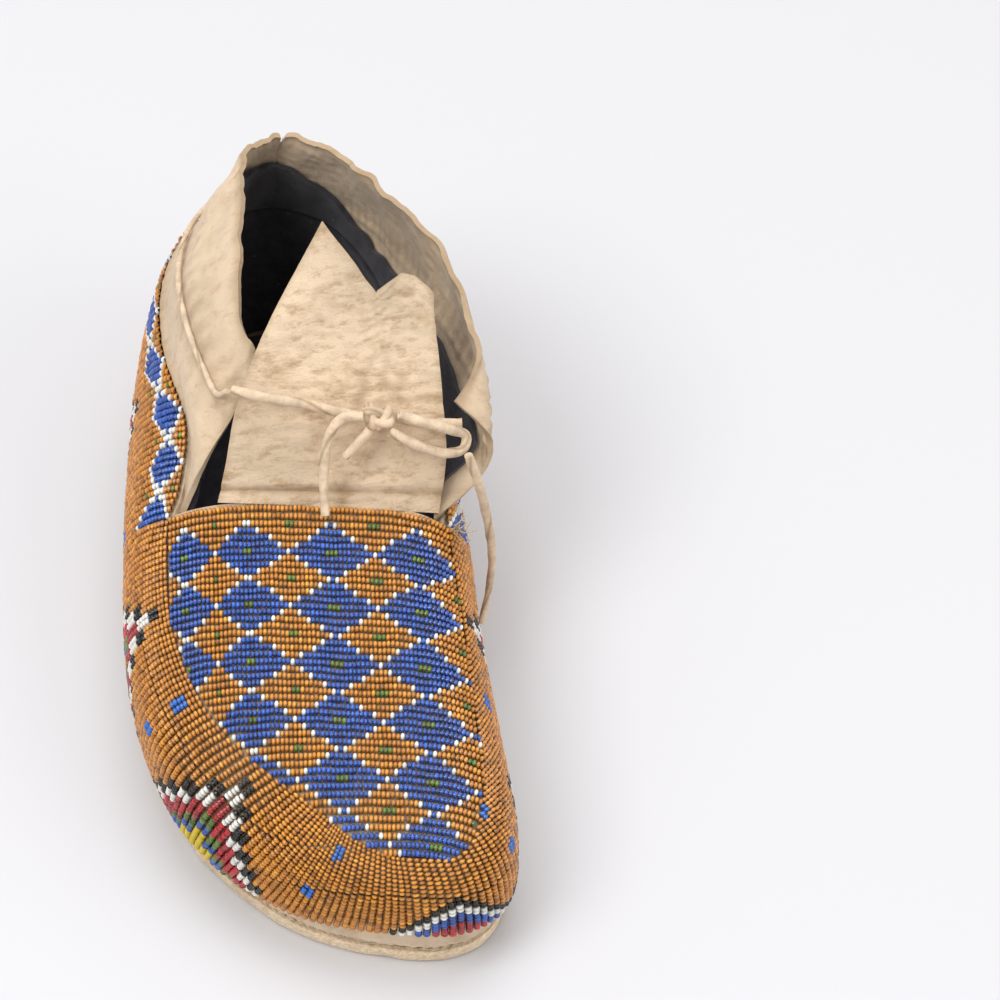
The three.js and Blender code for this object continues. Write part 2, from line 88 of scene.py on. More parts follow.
FLAP = {
    "l": [[[-20.4, 12.2, 64], [-12.5, 20, 71], [-5, 33.5, 81]],
          [[-24, 22, 68.5], [-16, 29.5, 77], [-7.2, 38, 85]],
          [[-25, 38, 71], [-17.5, 42, 81.5], [-8.3, 46.5, 88]],
          [[-25.5, 58, 72.5], [-17.5, 59.5, 83], [-6.2, 61, 90.5]],
          [[-23, 80, 72.5], [-15, 79, 83], [-4, 79, 92.5]],
          [[-15, 101, 72.5], [-10, 98.5, 84], [-2, 96.5, 94.5]],
          [[-3, 114, 73], [-1.5, 111, 84.5], [2, 106.5, 96]],
          [[9.5, 117.5, 73], [9.5, 114.5, 85], [11, 109, 96.5]]],
    "m": [[[54, -1, 55], [58, 5, 65], [48, 11.5, 76]],
          [[54, 12, 62], [58.5, 15, 72], [56, 20.5, 82]],
          [[52, 26, 65], [57.5, 28, 76], [56, 30, 86.5]],
          [[49.5, 45, 67], [54.5, 46, 79], [54.5, 48, 90]],
          [[45.5, 67, 69], [48, 67, 82], [46.5, 69, 93.5]],
          [[38.5, 90, 71], [38, 88.5, 84], [35, 85.5, 96]],
          [[27, 107, 72], [26, 104, 85], [24, 101, 97]],
          [[9.5, 117.5, 73], [9.5, 114.5, 85], [11, 109, 96.5]]]}
FOLD = [[0, 0.12, 0.3, 0.6, 1], [0.76, 0.72, 0.61, 0.45, 0.36]]
TONGUE_LEFT = [[-20.4, 1.6, 56.2], [-16.8, 9, 64.6], [-12, 20, 77], [-1, 34, 93.8], [16.5, 50.5, 115.3]]
TONGUE_RIGHT = [[41.5, -9.2, 54], [45, 1.5, 66], [45.6, 12, 77.5], [45.5, 23, 88.5], [45.5, 33.6, 99]]
TONGUE_V = [0, 0.2, 0.42, 0.7, 1]
TIP_U = [0, 0.22, 0.42, 0.5, 0.62, 0.74, 0.87, 1]
TIP = [[16.5, 50.5, 115.3], [22, 43.8, 109.5], [27, 37.4, 103.3], [29.6, 34.4, 100.3], [34.5, 36.5, 102.4],
       [37.6, 38, 104], [41, 37, 103.2], [45.5, 33.6, 99]]
SPAN_OUTER = [[-13.5, 19.5, 82.5], [-5, 15.5, 82.5], [6, 11.5, 82.5], [15, 8.5, 80.8], [20.5, 7, 80]]
SPAN_INNER = [[31.5, 5.5, 79], [38, 4.5, 77.2], [45, 4.5, 76], [50, 4, 76]]
SLIT = [[-14.6, 20.6, 81.4]]  # where the outer wrap goes in through the flap
KNOT = np.array([26, 6.2, 79.5])
WRAP_WIDE = 1.7  # the tie where it is pulled flat round the ankle
PULLED = 0.86    # width of the tie where it is knotted, as a share of its own
BOW = [[29, 1.5, 78], [36, -1.2, 74.5], [44, -3, 71.8], [49.5, -2.2, 72], [50.5, 0.2, 74.6],
       [46.5, -0.4, 78.2], [39, 0.6, 81], [32.2, 3.0, 82.6]]
LONG_TAIL = [[22, 3.5, 83], [16.5, 4.2, 82.6], [12.3, 1.8, 79], [10, -3, 73], [9, -8.6, 65.2], [9, -13, 61.5]]
SHORT_TAIL = [[23.5, 1.8, 79], [19.5, -0.2, 75.5], [16, -1.4, 72.5]]
HANGING_TAIL = [[50.5, -5.6, 72.5], [53.4, -7.6, 61], [55.7, -8, 47], [56.6, -9.2, 33], [55.4, -10.6, 21],
                [52.4, -16, 13.5]]

# ---------------------------------------------------------------- colours and other settings of the panel


def linear(code):
    """An sRGB hex colour as linear red, green and blue."""
    s = np.array([int(code[i:i + 2], 16) for i in (1, 3, 5)]) / 255
    return tuple(float(c) for c in np.where(s <= 0.04045, s / 12.92, ((s + 0.055) / 1.055) ** 2.4))


def colour(name, description, code):
    return FloatVectorProperty(name=name, description=description, default=linear(code), subtype="COLOR",
                               min=0, max=1)


def size(name, description, value):
    return FloatProperty(name=name, description=description, default=value / 1000, min=0, unit="LENGTH",
                         precision=5)


class MoccasinSizes(bpy.types.PropertyGroup):
    """Sizes that a maker would change."""
    bead_width: size("Bead width", "Diameter of a seed bead", 2.08)
    bead_step: size("Bead step", "Length of one bead on its thread", 1.225)
    side_pitch: size("Side row step", "From one row of beads to the next on the sides", 2.35)
    vamp_pitch: size("Panel row step", "From one row of beads to the next on the panel", 2.44)
    thong_width: size("Tie width", "Width of the rolled tie thong", 3.4)
    tail_width: size("Tail width", "Width of the tie's loose tail", 2.8)
    lane_beads: IntProperty(name="Beads in a lane", description="Beads between two rows of stitches",
                            default=12, min=4)


class MoccasinColours(bpy.types.PropertyGroup):
    """Colours that a maker would change."""
    amber: colour("Amber glass", "Ground of the beadwork", "#D58824")
    blue: colour("Cobalt glass", "Diamonds of the panel", "#2757B0")
    white: colour("White glass", "Outlines", "#F1EFE6")
    black: colour("Black glass", "Outline of the stepped hills", "#121212")
    red: colour("Red glass", "Stepped hills", "#B4121F")
    green: colour("Green glass", "Centres of the diamonds", "#5E7A22")
    sky: colour("Sky glass", "Small squares", "#2F74D0")
    yellow: colour("Yellow glass", "Core of the stepped hills", "#E0C414")
    hide: colour("Smoked hide", "Flaps and tongue", "#DEC6A8")
    rawhide: colour("Rawhide", "Sole", "#F0DABA")
    felt: colour("Black felt", "Lining", "#3A383D")


BEAD_KINDS = ("amber", "blue", "white", "black", "red", "green", "sky", "yellow")
AMBER, BLUE, WHITE, BLACK, RED, GREEN, SKY, YELLOW = range(8)

# ---------------------------------------------------------------- curves and surfaces


def unit(v):
    """Vectors scaled to length one."""
    return v / np.maximum(np.linalg.norm(v, axis=-1, keepdims=True), 1e-12)


def hermite(u, h, a, b, at_a, at_b):
    """Cubic over a span of length h, from value a to value b with slopes at_a and at_b; u runs 0 to 1."""
    return ((2 * u ** 3 - 3 * u ** 2 + 1) * a + (u ** 3 - 2 * u ** 2 + u) * h * at_a
            + (3 * u ** 2 - 2 * u ** 3) * b + (u ** 3 - u ** 2) * h * at_b)


def smooth(x, table):
    """Cubic through a table of values or points; each slope is the chord between the two neighbours."""
    xs, ys = np.asarray(table[0], float), np.asarray(table[1], float)
    m = np.empty_like(ys)
    flat = (len(xs),) + (1,) * (ys.ndim - 1)
    gap = xs.reshape(flat)
    m[1:-1] = (ys[2:] - ys[:-2]) / (gap[2:] - gap[:-2])
    m[0], m[-1] = (ys[1] - ys[0]) / (xs[1] - xs[0]), (ys[-1] - ys[-2]) / (xs[-1] - xs[-2])
    x = np.clip(np.asarray(x, float), xs[0], xs[-1])
    i = np.clip(np.searchsorted(xs, x, side="right") - 1, 0, len(xs) - 2)
    h = xs[i + 1] - xs[i]
    t = (x - xs[i]) / h
    if ys.ndim > 1:
        h, t = h[..., None], t[..., None]
    return hermite(t, h, ys[i], ys[i + 1], m[i], m[i + 1])


def distances(path):
    """Length along a line of points from its start to each of them."""
    return np.concatenate([[0], np.cumsum(np.linalg.norm(np.diff(path, axis=0), axis=1))])


def points_at(at, along, path):
    """Points of a line at given values of along, which grows from point to point."""
    return np.stack([np.interp(at, along, path[:, k]) for k in range(3)], -1)


def step(x, a, b):
    """0 below a, 1 above b, and a smooth turn between them."""
    t = np.clip((np.asarray(x, float) - a) / (b - a), 0, 1)
    return t * t * (3 - 2 * t)


def wide_outline(per=160):
    """The widest line as a closed Catmull-Rom curve through WIDE."""
    p = np.array(WIDE, float)
    u = (np.arange(per) / per)[None, :, None]
    a, b, c, d = (np.roll(p, k, axis=0)[:, None] for k in (1, 0, -1, -2))
    q = 0.5 * (2 * b + (c - a) * u + (2 * a - 5 * b + 4 * c - d) * u ** 2 + (3 * b - a - 3 * c + d) * u ** 3)
    return q.reshape(-1, 2)


def _halves():
    p = wide_outline()
    g = p[:, 1] + SKEW * p[:, 0]
    heel = int(np.argmax(g))
    ring = np.vstack([p[heel:], p[:heel + 1]])
    g = ring[:, 1] + SKEW * ring[:, 0]
    toe = int(np.argmin(g))
    return {"l": (g[:toe + 1][::-1], ring[:toe + 1][::-1]), "m": (g[toe:], ring[toe:])}


HALF = _halves()
G_TOE, G_HEEL = float(HALF["l"][0][0]), float(HALF["l"][0][-1])


def upper_point(g, side, v, off=0.0):
    """Point of the upper: from a point on the shoe's spine, out towards the widest line at station g. Below
    LOW the wall curls in to the sole by a square law; above it the wall is a quarter of a superellipse up
    to the ridge."""
    g, v, off = np.broadcast_arrays(np.asarray(g, float), np.asarray(v, float), np.asarray(off, float))
    gs, ring = HALF[side]
    e = np.stack([np.interp(g, gs, ring[:, 0]), np.interp(g, gs, ring[:, 1])], -1)
    cg = G_THROAT + FAN * (g - G_THROAT)
    cx = smooth(cg, SPINE)
    c = np.stack([cx, cg - SKEW * cx], -1)
    top, n = smooth(cg, RIDGE), smooth(g, ROUND[side])
    reach = np.linalg.norm(e - c, axis=-1)
    d = (e - c) / reach[..., None]
    q = np.maximum(1 - v / LOW, 0)
    ph = np.maximum((v - LOW) / (1 - LOW), 0) * np.pi / 2
    r = np.where(v < LOW, reach - SKIN + off - TUCK * q * q,
                 (reach - SKIN + off) * np.maximum(np.cos(ph), 0) ** (2 / n))
    z = np.where(v < LOW, Z_WIDE - (Z_WIDE - SOLE_T - GAP) * q,
                 Z_WIDE + (top + off - Z_WIDE) * np.sin(ph) ** (2 / n))
    return np.concatenate([c + d * r[..., None], z[..., None]], -1)


V_TABLE = np.linspace(0, 1, 91)


def profile_arcs(g, side):
    """Length along the profile at station g from the sole to each value of V_TABLE."""
    p = upper_point(np.asarray(g, float)[..., None], side, V_TABLE)
    lengths = np.linalg.norm(np.diff(p, axis=-2), axis=-1)
    return np.concatenate([np.zeros(lengths.shape[:-1] + (1,)), np.cumsum(lengths, -1)], -1)


ARC_ROWS = 900
ARC_G = G_TOE + (G_HEEL - G_TOE) * (1 - np.cos(np.linspace(0, np.pi, ARC_ROWS))) / 2
ARC_TABLE = {side: profile_arcs(ARC_G, side) for side in "lm"}


def v_at(g, side, arc):
    """Profile parameter at a given length above the sole, from the tables of ARC_ROWS profiles."""
    g, arc = np.broadcast_arrays(np.asarray(g, float), np.asarray(arc, float))
    at = np.interp(g, ARC_G, np.arange(ARC_ROWS))
    low = np.minimum(at.astype(int), ARC_ROWS - 2)
    part = (at - low)[..., None]
    table = ARC_TABLE[side][low] * (1 - part) + ARC_TABLE[side][low + 1] * part
    k = np.clip((table < arc[..., None]).sum(-1), 1, len(V_TABLE) - 1)[..., None]
    a, b = np.take_along_axis(table, k - 1, -1)[..., 0], np.take_along_axis(table, k, -1)[..., 0]
    return (k[..., 0] - 1 + np.clip((arc - a) / (b - a), 0, 1)) / (len(V_TABLE) - 1)


def upper_frame(g, side, v, off):
    """Point, direction up the profile, and outward normal of the upper."""
    e = 2e-3
    p = upper_point(g, side, v, off)
    up = upper_point(g, side, np.minimum(v + e, 1), off) - upper_point(g, side, np.maximum(v - e, 0), off)
    on = (upper_point(np.clip(g + 0.03, G_TOE, G_HEEL), side, v, off)
          - upper_point(np.clip(g - 0.03, G_TOE, G_HEEL), side, v, off))
    return p, unit(up), unit(np.cross(on, up)) * OUT[side]


def opening_point(side, t):
    """Middle of the hide just past the opening, t from the vamp edge to the heel."""
    g = G_HEEL - (G_HEEL - G_THROAT) * (1 - t) ** 1.7
    lift = LIFT[side] + (LIFT["l"] - LIFT[side]) * t * t
    arc = smooth(g, SHOULDER[side]) + lift
    return upper_point(g, side, v_at(g, side, arc), -HIDE_T / 2)


def flap_point(side, t, w):
    """Middle of an ankle flap's hide. At each t a cubic climbs through the opening and three points of the
    net, which are themselves cubics of t."""
    t, w = np.broadcast_arrays(np.clip(t, 0, 1), np.clip(w, 0, 1))
    net = [opening_point(side, t)] + [smooth(t, [STATIONS, [s[r] for s in FLAP[side]]]) for r in range(3)]
    xs = [0, 0.33, 0.66, 1]
    m = [(net[1] - net[0]) / 0.33, (net[2] - net[0]) / 0.66, (net[3] - net[1]) / 0.67,
         (net[3] - net[2]) / 0.34]
    out = np.zeros_like(net[0])
    for k in range(3):
        h = xs[k + 1] - xs[k]
        u = np.clip((w - xs[k]) / h, 0, 1)[..., None]
        q = hermite(u, h, net[k], net[k + 1], m[k], m[k + 1])
        out = np.where((w >= xs[k])[..., None], q, out)
    return out


def surface_normal(f, u, v, e=1e-3):
    """Unit normal of a surface of two parameters, by central differences."""
    u, v = np.clip(u, 0.002, 0.998), np.clip(v, 0.002, 0.998)
    return unit(np.cross(f(u + e, v) - f(u - e, v), f(u, v + e) - f(u, v - e)))


def flap_normal(side, t, w):
    """Outward normal of a flap."""
    return surface_normal(lambda a, b: flap_point(side, a, b), t, w) * OUT[side]


def fold_w(t):
    """Height of a cuff's fold on its flap, as a share of the sheet."""
    return smooth(t, FOLD)


def tongue_point(u, v):
    """Middle of the tongue's hide: a ruled sheet between its edges, bowed up across, that ends in a fork."""
    u, v = np.broadcast_arrays(np.asarray(u, float), np.asarray(v, float))
    a, b = smooth(v, [TONGUE_V, TONGUE_LEFT]), smooth(v, [TONGUE_V, TONGUE_RIGHT])
    tip = points_at(u, TIP_U, np.array(TIP))
    first, last = np.array(TIP[0]), np.array(TIP[-1])
    straight, flat = a + (b - a) * u[..., None], first + (last - first) * u[..., None]
    arch = (4 * u * (1 - u) * np.sqrt(1 - np.clip(v, 0, 1)))[..., None]
    return straight + (tip - flat) * (np.clip(v, 0, 1) ** 2.2)[..., None] + arch * np.array([0, -1.2, 1.8])


def ripple(a, b, seed, scale, turns=9):
    """Smooth unevenness of about -1 to 1: a sum of sine waves with seeded directions and phases. a and b are
    in millimetres."""
    rng = np.random.default_rng(seed)
    out = np.zeros(np.broadcast(a, b).shape)
    for _ in range(turns):
        angle, phase, pace = rng.uniform(0, np.pi), rng.uniform(0, 2 * np.pi), rng.uniform(0.6, 1.7)
        out = out + np.sin((a * np.cos(angle) + b * np.sin(angle)) * 2 * np.pi * pace / scale + phase)
    return out / math.sqrt(turns)


def mid_shift():
    """How far the frame's origin lies from the maker's, from the sole's box here and in the frame."""
    g = np.linspace(G_TOE, G_HEEL, 400)
    edge = np.vstack([upper_point(g, side, 0.0, 0.8)[:, :2] for side in "lm"])
    lo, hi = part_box("rawhide_sole")
    return (edge.min(0) + edge.max(0)) / 2 - 500 * np.array([lo[0] + hi[0], lo[1] + hi[1]])


MID = mid_shift()


def place(p):
    """Millimetres in the maker's axes as metres in the row frame."""
    return (np.asarray(p, float) - np.array([MID[0], MID[1], 0])) / 1000


# ---------------------------------------------------------------- meshes


def grid_faces(nu, nv, wrap=False, first=0):
    """Quads of a grid of nu by nv points, numbered row by row from first."""
    i, j = np.meshgrid(np.arange(nu if wrap else nu - 1), np.arange(nv - 1), indexing="ij")
    k = (i + 1) % nu
    return first + np.stack([i * nv + j, k * nv + j, k * nv + j + 1, i * nv + j + 1], -1).reshape(-1, 4)


def shell(outer, inner, wrap=False):
    """A closed wall between two grids of the same size, with a strip along each open edge."""
    nu, nv = outer.shape[:2]
    n = nu * nv
    faces = [grid_faces(nu, nv, wrap), grid_faces(nu, nv, wrap, n)[:, ::-1]]
    a = np.arange(nu) if wrap else np.arange(nu - 1)
    b = (a + 1) % nu
    for j, turn in ((0, 1), (nv - 1, -1)):
        rim = np.stack([a * nv + j, n + a * nv + j, n + b * nv + j, b * nv + j], -1)
        faces.append(rim[:, ::turn])
    if not wrap:
        j = np.arange(nv - 1)
        for i, turn in ((0, -1), (nu - 1, 1)):
            rim = np.stack([i * nv + j, n + i * nv + j, n + i * nv + j + 1, i * nv + j + 1], -1)
            faces.append(rim[:, ::turn])
    return np.vstack([outer.reshape(-1, 3), inner.reshape(-1, 3)]), np.vstack(faces)


def fill_mesh(mesh, verts, loops, starts):
    """Points in metres, the corners of all faces one after the other, and where each face starts."""
    mesh.vertices.add(len(verts))
    mesh.vertices.foreach_set("co", verts.astype(np.float32).ravel())
    mesh.loops.add(len(loops))
    mesh.loops.foreach_set("vertex_index", loops.astype(np.int32))
    mesh.polygons.add(len(starts))
    mesh.polygons.foreach_set("loop_start", starts.astype(np.int32))
    mesh.update(calc_edges=True)
    mesh.validate()


def make_piece(name, verts, faces, materials, body, nodes=(), values=None, kinds=None,
               merge=False):
    """A new piece: verts in millimetres, faces as rows of equal length or a list of such arrays. values are
    point attributes; kinds is one material number per face."""
    groups = faces if isinstance(faces, list) else [faces]
    loops = np.concatenate([f.ravel() for f in groups])
    counts = np.concatenate([np.full(len(f), f.shape[1]) for f in groups])
    starts = np.concatenate([[0], np.cumsum(counts)[:-1]])
    mesh = bpy.data.meshes.new(name)
    fill_mesh(mesh, place(verts), loops, starts)
    for key, value in (values or {}).items():
        layer = mesh.attributes.new(key, "FLOAT", "POINT")
        layer.data.foreach_set("value", np.asarray(value, np.float32).ravel())
    if kinds is not None:
        mesh.polygons.foreach_set("material_index", kinds.astype(np.int32))
    if merge:
        work = bmesh.new()
        work.from_mesh(mesh)
        bmesh.ops.remove_doubles(work, verts=work.verts, dist=1e-6)
        bmesh.ops.dissolve_degenerate(work, edges=work.edges, dist=1e-7)
        bmesh.ops.recalc_face_normals(work, faces=work.faces)
        work.to_mesh(mesh)
        work.free()
    if signed_volume(mesh) < 0:
        mesh.flip_normals()
    mesh.shade_smooth()
    for material in materials:
        mesh.materials.append(material)
    obj = bpy.data.objects.new(name, mesh)
    bpy.context.scene.collection.objects.link(obj)
    if body:
        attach(obj, body)
    if nodes:
        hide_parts(*nodes)
    return obj


def signed_volume(mesh):
    """Volume from the triangles of the mesh, below zero if it is inside out."""
    mesh.calc_loop_triangles()
    tri = np.empty(len(mesh.loop_triangles) * 3, np.int32)
    mesh.loop_triangles.foreach_get("vertices", tri)
    co = np.empty(len(mesh.vertices) * 3, np.float32)
    mesh.vertices.foreach_get("co", co)
    a, b, c = np.moveaxis(co.reshape(-1, 3).astype(float)[tri.reshape(-1, 3)], 1, 0)
    return float((a * np.cross(b, c)).sum())


def crisp(obj, angle=40):
    """Keeps cut edges sharp while the rest stays smooth."""
    obj.data.set_sharp_from_angle(angle=math.radians(angle))
    return obj


def centripetal(points, n):
    """A smooth curve through the points, by the centripetal Catmull-Rom rule, as n points evenly spaced
    along it."""
    p = np.asarray(points, float)
    p = np.vstack([2 * p[0] - p[1], p, 2 * p[-1] - p[-2]])
    p0, p1, p2, p3 = p[:-3, None], p[1:-2, None], p[2:-1, None], p[3:, None]
    d0, d1, d2 = (np.sqrt(np.linalg.norm(b - a, axis=-1, keepdims=True))
                  for a, b in ((p0, p1), (p1, p2), (p2, p3)))
    m1 = ((p1 - p0) / d0 - (p2 - p0) / (d0 + d1) + (p2 - p1) / d1) * d1
    m2 = ((p2 - p1) / d1 - (p3 - p1) / (d1 + d2) + (p3 - p2) / d2) * d1
    u = np.linspace(0, 1, 40, endpoint=False)[None, :, None]
    q = p1 + m1 * u + (-3 * p1 + 3 * p2 - 2 * m1 - m2) * u ** 2 + (2 * p1 - 2 * p2 + m1 + m2) * u ** 3
    q = np.vstack([q.reshape(-1, 3), p[-2]])
    along = distances(q)
    return points_at(np.linspace(0, along[-1], n), along, q)


# of a strip's half width: depth of its furrow, oval and unevenness; and the furrow's half width in radians
FURROW_DEEP, STRIP_OVAL, STRIP_ROUGH, FURROW_HALF = 0.26, 0.07, 0.045, 0.42


def strip_mesh(path, width, seed, sides=20, turn=26.0, closed=False, thin=0.0):
    """A rolled strip of hide along a path. Its section is a circle with a furrow where the strip's edge
    lies; the furrow winds once in every `turn` millimetres. thin narrows the free end."""
    n = len(path)
    tangent = unit(np.roll(path, -1, 0) - np.roll(path, 1, 0) if closed else np.gradient(path, axis=0))
    side = np.empty_like(tangent)
    side[0] = unit(np.cross(tangent[0], [0.13, 0.31, 0.94]))
    for i in range(1, n):
        side[i] = unit(side[i - 1] - tangent[i] * (side[i - 1] @ tangent[i]))
    if closed:  # the frame's turn over the loop is spread out evenly
        last = unit(side[-1] - tangent[0] * (side[-1] @ tangent[0]))
        slip = math.atan2(np.cross(last, side[0]) @ tangent[0], last @ side[0])
        spin = slip * np.arange(n) / n
        side = side * np.cos(spin)[:, None] + np.cross(tangent, side) * np.sin(spin)[:, None]
    other = np.cross(tangent, side)
    along = distances(path)
    a = np.arange(sides) / sides * 2 * np.pi
    turns = np.round(along[-1] / turn) * along / along[-1] if closed else along / turn
    past = a[None] - 2 * np.pi * turns[:, None]
    furrow = np.exp(-((np.mod(past + np.pi, 2 * np.pi) - np.pi) / FURROW_HALF) ** 2)
    rough = 0.0 if closed else STRIP_ROUGH * ripple(along[:, None], a[None] * width / 2, seed, 5.0)
    r = width / 2 * (1 + STRIP_OVAL * np.cos(2 * past) - FURROW_DEEP * furrow + rough)
    r = r * (1 - thin * step(along / along[-1], 0.3, 1))[:, None]
    p = (path[:, None] + side[:, None] * (r * np.cos(a))[..., None]
         + other[:, None] * (r * np.sin(a))[..., None])
    faces = grid_faces(sides, n, wrap=True)
    verts = np.swapaxes(p, 0, 1).reshape(-1, 3)
    mm = np.broadcast_to(along, (sides, n)).ravel()
    if closed:
        j = np.arange(sides)
        k = (j + 1) % sides
        faces = [np.vstack([faces, np.stack([j * n + n - 1, k * n + n - 1, k * n, j * n], -1)])]
    else:
        ring = np.arange(sides) * n
        faces = [faces, ring[None], (ring + n - 1)[None, ::-1]]
    return verts, faces, mm, np.broadcast_to(furrow.T, (sides, n)).ravel()


def joined(parts):
    """Several meshes as one: (verts, list of face arrays, along, furrow) each."""
    verts, faces, along, furrow, first = [], [], [], [], 0
    for v, f, a, w in parts:
        verts.append(v)
        faces += [x + first for x in f]
        along.append(a)
        furrow.append(w)
        first += len(v)
    return np.vstack(verts), faces, np.concatenate(along), np.concatenate(furrow)


# ---------------------------------------------------------------- materials


def node(tree, kind, settings=None, links=None):
    """One node with its settings, its socket values and its links. Sockets are named or numbered."""
    made = tree.nodes.new(kind)
    for key, value in (settings or {}).items():
        if isinstance(key, str) and hasattr(made, key):
            setattr(made, key, value)
        else:
            made.inputs[key].default_value = value
    for key, source in (links or {}).items():
        tree.links.new(source, made.inputs[key])
    return made


def ramp(tree, source, stops):
    """A colour ramp over a 0 to 1 value; stops are (position, linear colour)."""
    made = node(tree, "ShaderNodeValToRGB", links={0: source})
    bar = made.color_ramp
    while len(bar.elements) < len(stops):
        bar.elements.new(0.5)
    for element, (where, rgb) in zip(bar.elements, stops):
        element.position = where
        element.color = (*rgb, 1)
    return made.outputs[0]


def times(tree, source, k):
    """A value multiplied by a constant."""
    return node(tree, "ShaderNodeMath", {"operation": "MULTIPLY", 1: k}, {0: source}).outputs[0]


def attribute(tree, name):
    """A point attribute that the mesh carries."""
    return node(tree, "ShaderNodeAttribute", {"attribute_name": name}).outputs["Fac"]


def mix(tree, share, a, b):
    """Colour b over colour a by share; each is a colour or a socket."""
    made = node(tree, "ShaderNodeMix", {"data_type": "RGBA"})
    for key, value in ((0, share), (6, a), (7, b)):
        if isinstance(value, bpy.types.NodeSocket):
            tree.links.new(value, made.inputs[key])
        else:
            made.inputs[key].default_value = value if key == 0 else (*value, 1)
    return made.outputs[2]


def noise(tree, vector, per_mm, detail=4, rough=0.55, seed=0.0, squeeze=(1, 1, 1)):
    """Noise whose blobs are about per_mm millimetres across; squeeze stretches them along an axis."""
    if squeeze != (1, 1, 1) or seed:
        vector = node(tree, "ShaderNodeMapping", {"Scale": squeeze, "Location": (seed, seed, 0)},
                      {"Vector": vector}).outputs[0]
    return node(tree, "ShaderNodeTexNoise", {"Scale": 1000 / per_mm, "Detail": detail, "Roughness": rough},
                {"Vector": vector}).outputs[0]


def surface(name, build):
    """A material with one principled shader, which build(tree, shader, object coordinates) finishes."""
    made = bpy.data.materials.new(name)
    made.use_nodes = True
    tree = made.node_tree
    shader = tree.nodes["Principled BSDF"]
    build(tree, shader, node(tree, "ShaderNodeTexCoord").outputs["Object"])
    return made


def bump(tree, shader, height, distance_mm, strength, under=None):
    """Small relief from a height, on top of another one."""
    links = {"Height": height}
    if under is not None:
        links["Normal"] = under
    made = node(tree, "ShaderNodeBump", {"Strength": strength, "Distance": distance_mm / 1000}, links)
    tree.links.new(made.outputs[0], shader.inputs["Normal"])
    return made.outputs[0]


def put(shader, values):
    """Constants on a shader's sockets."""
    for key, value in values.items():
        shader.inputs[key].default_value = value


DARK, LIGHT = (0, 0, 0), (1, 1, 1)


def shade(rgb, k):
    """A colour k times as bright."""
    return tuple(min(c * k, 1.0) for c in rgb)


def glass_bead(kind, rgb, clear):
    """Drawn-glass seed bead, cut from a cane and tumbled: a soft gloss, uneven colour from bead to bead,
    some light that goes into the clear ones, and painted shade on each bead's ends and underside, so that
    each is brightest on its top and deep in colour round it."""
    def build(tree, shader, place_at):
        dark, pale = shade(rgb, 0.42 if clear else 0.84), shade(rgb, 1.75 if clear else 1.12)
        tone = ramp(tree, attribute(tree, "bead_tint"), [(0.0, dark), (0.5, rgb), (1.0, pale)])
        # painted shade at a bead's ends and under it, where its neighbours and the hide are; deeper on the
        # clear ones
        painted_shade_share = times(tree, attribute(tree, "bead_end"), 0.92 if clear else 0.6)
        tone = mix(tree, painted_shade_share, tone, shade(rgb, 0.16 if clear else 0.4))
        # old dust and hide dye lie between the rows
        grime = noise(tree, place_at, 9.0, detail=3)
        dusty = times(tree, ramp(tree, grime, [(0.42, DARK), (0.75, LIGHT)]), 0.16)
        tree.links.new(mix(tree, dusty, tone, shade(linear("#6E5638"), 0.9)), shader.inputs["Base Color"])
        rough = node(tree, "ShaderNodeMapRange", {"To Min": 0.08, "To Max": 0.26}, {"Value": grime})
        tree.links.new(rough.outputs[0], shader.inputs["Roughness"])
        warm = kind in ("amber", "red")
        put(shader, {"IOR": 1.52, "Coat Weight": 0.5 if clear else 0.2, "Coat Roughness": 0.06,
                     "Subsurface Weight": 0.18 if clear else 0.05, "Subsurface Scale": 0.0012,
                     "Subsurface Radius": (1.0, 0.5, 0.25) if warm else (0.5, 0.6, 1)})
    return surface("seed_bead_" + kind + "_glass", build)


def bead_materials():
    """One glass for each of BEAD_KINDS, in that order."""
    c = bpy.context.scene.moccasin_colours
    clear = {"amber", "green", "blue", "red"}
    return [bpy.data.materials.get(f"seed_bead_{k}_glass") or glass_bead(k, tuple(getattr(c, k)), k in clear)
            for k in BEAD_KINDS]


def hide_material(name, rgb, stain, seed, wrinkle_mm=3.2, grain=0.5, crackle=0.25, depth=0.55):
    """Brain-tanned, smoked hide, sueded on both faces: no gloss, a short nap that catches light at grazing
    angles, cloudy smoke colour, handling stains, and the fine creases of a skin that has been folded
    often."""
    def build(tree, shader, place_at):
        cloud = noise(tree, place_at, 34.0, detail=5, seed=seed)
        blotch = noise(tree, place_at, 8.0, detail=6, rough=0.65, seed=seed + 1.7)
        nap = noise(tree, place_at, 0.9, detail=6, rough=0.75, seed=seed + 3.1)
        base = ramp(tree, cloud, [(0.3, shade(rgb, 0.80)), (0.5, rgb), (0.72, shade(rgb, 1.13))])
        crease = noise(tree, place_at, wrinkle_mm, detail=6, rough=0.68, seed=seed + 5, squeeze=(0.4, 1, 1))
        # brown handling stains, dark pores, and darker colour along the creases of the bump
        marks = times(tree, ramp(tree, blotch, [(0.5, DARK), (0.72, LIGHT)]), stain)
        tone = mix(tree, marks, base, linear("#A9875A"))
        pores = times(tree, ramp(tree, nap, [(0.30, LIGHT), (0.43, DARK)]), 0.35)
        tone = mix(tree, pores, tone, linear("#9C7D54"))
        lines = times(tree, ramp(tree, crease, [(0.36, LIGHT), (0.47, DARK)]), crackle)
        tone = mix(tree, lines, tone, linear("#9A7448"))
        # worn and handled margins, stains and creases are darker, and painted shade darkens the stitch groove
        # along the sole
        tone = mix(tree, attribute(tree, "wear"), tone, linear("#8A6A42"))
        tree.links.new(tone, shader.inputs["Base Color"])
        put(shader, {"Roughness": 0.92, "Sheen Weight": 0.22, "Sheen Roughness": 0.45,
                     "Specular IOR Level": 0.25})
        first = bump(tree, shader, crease, depth, 0.8)
        bump(tree, shader, nap, 0.22, grain, first)
    return surface(name, build)


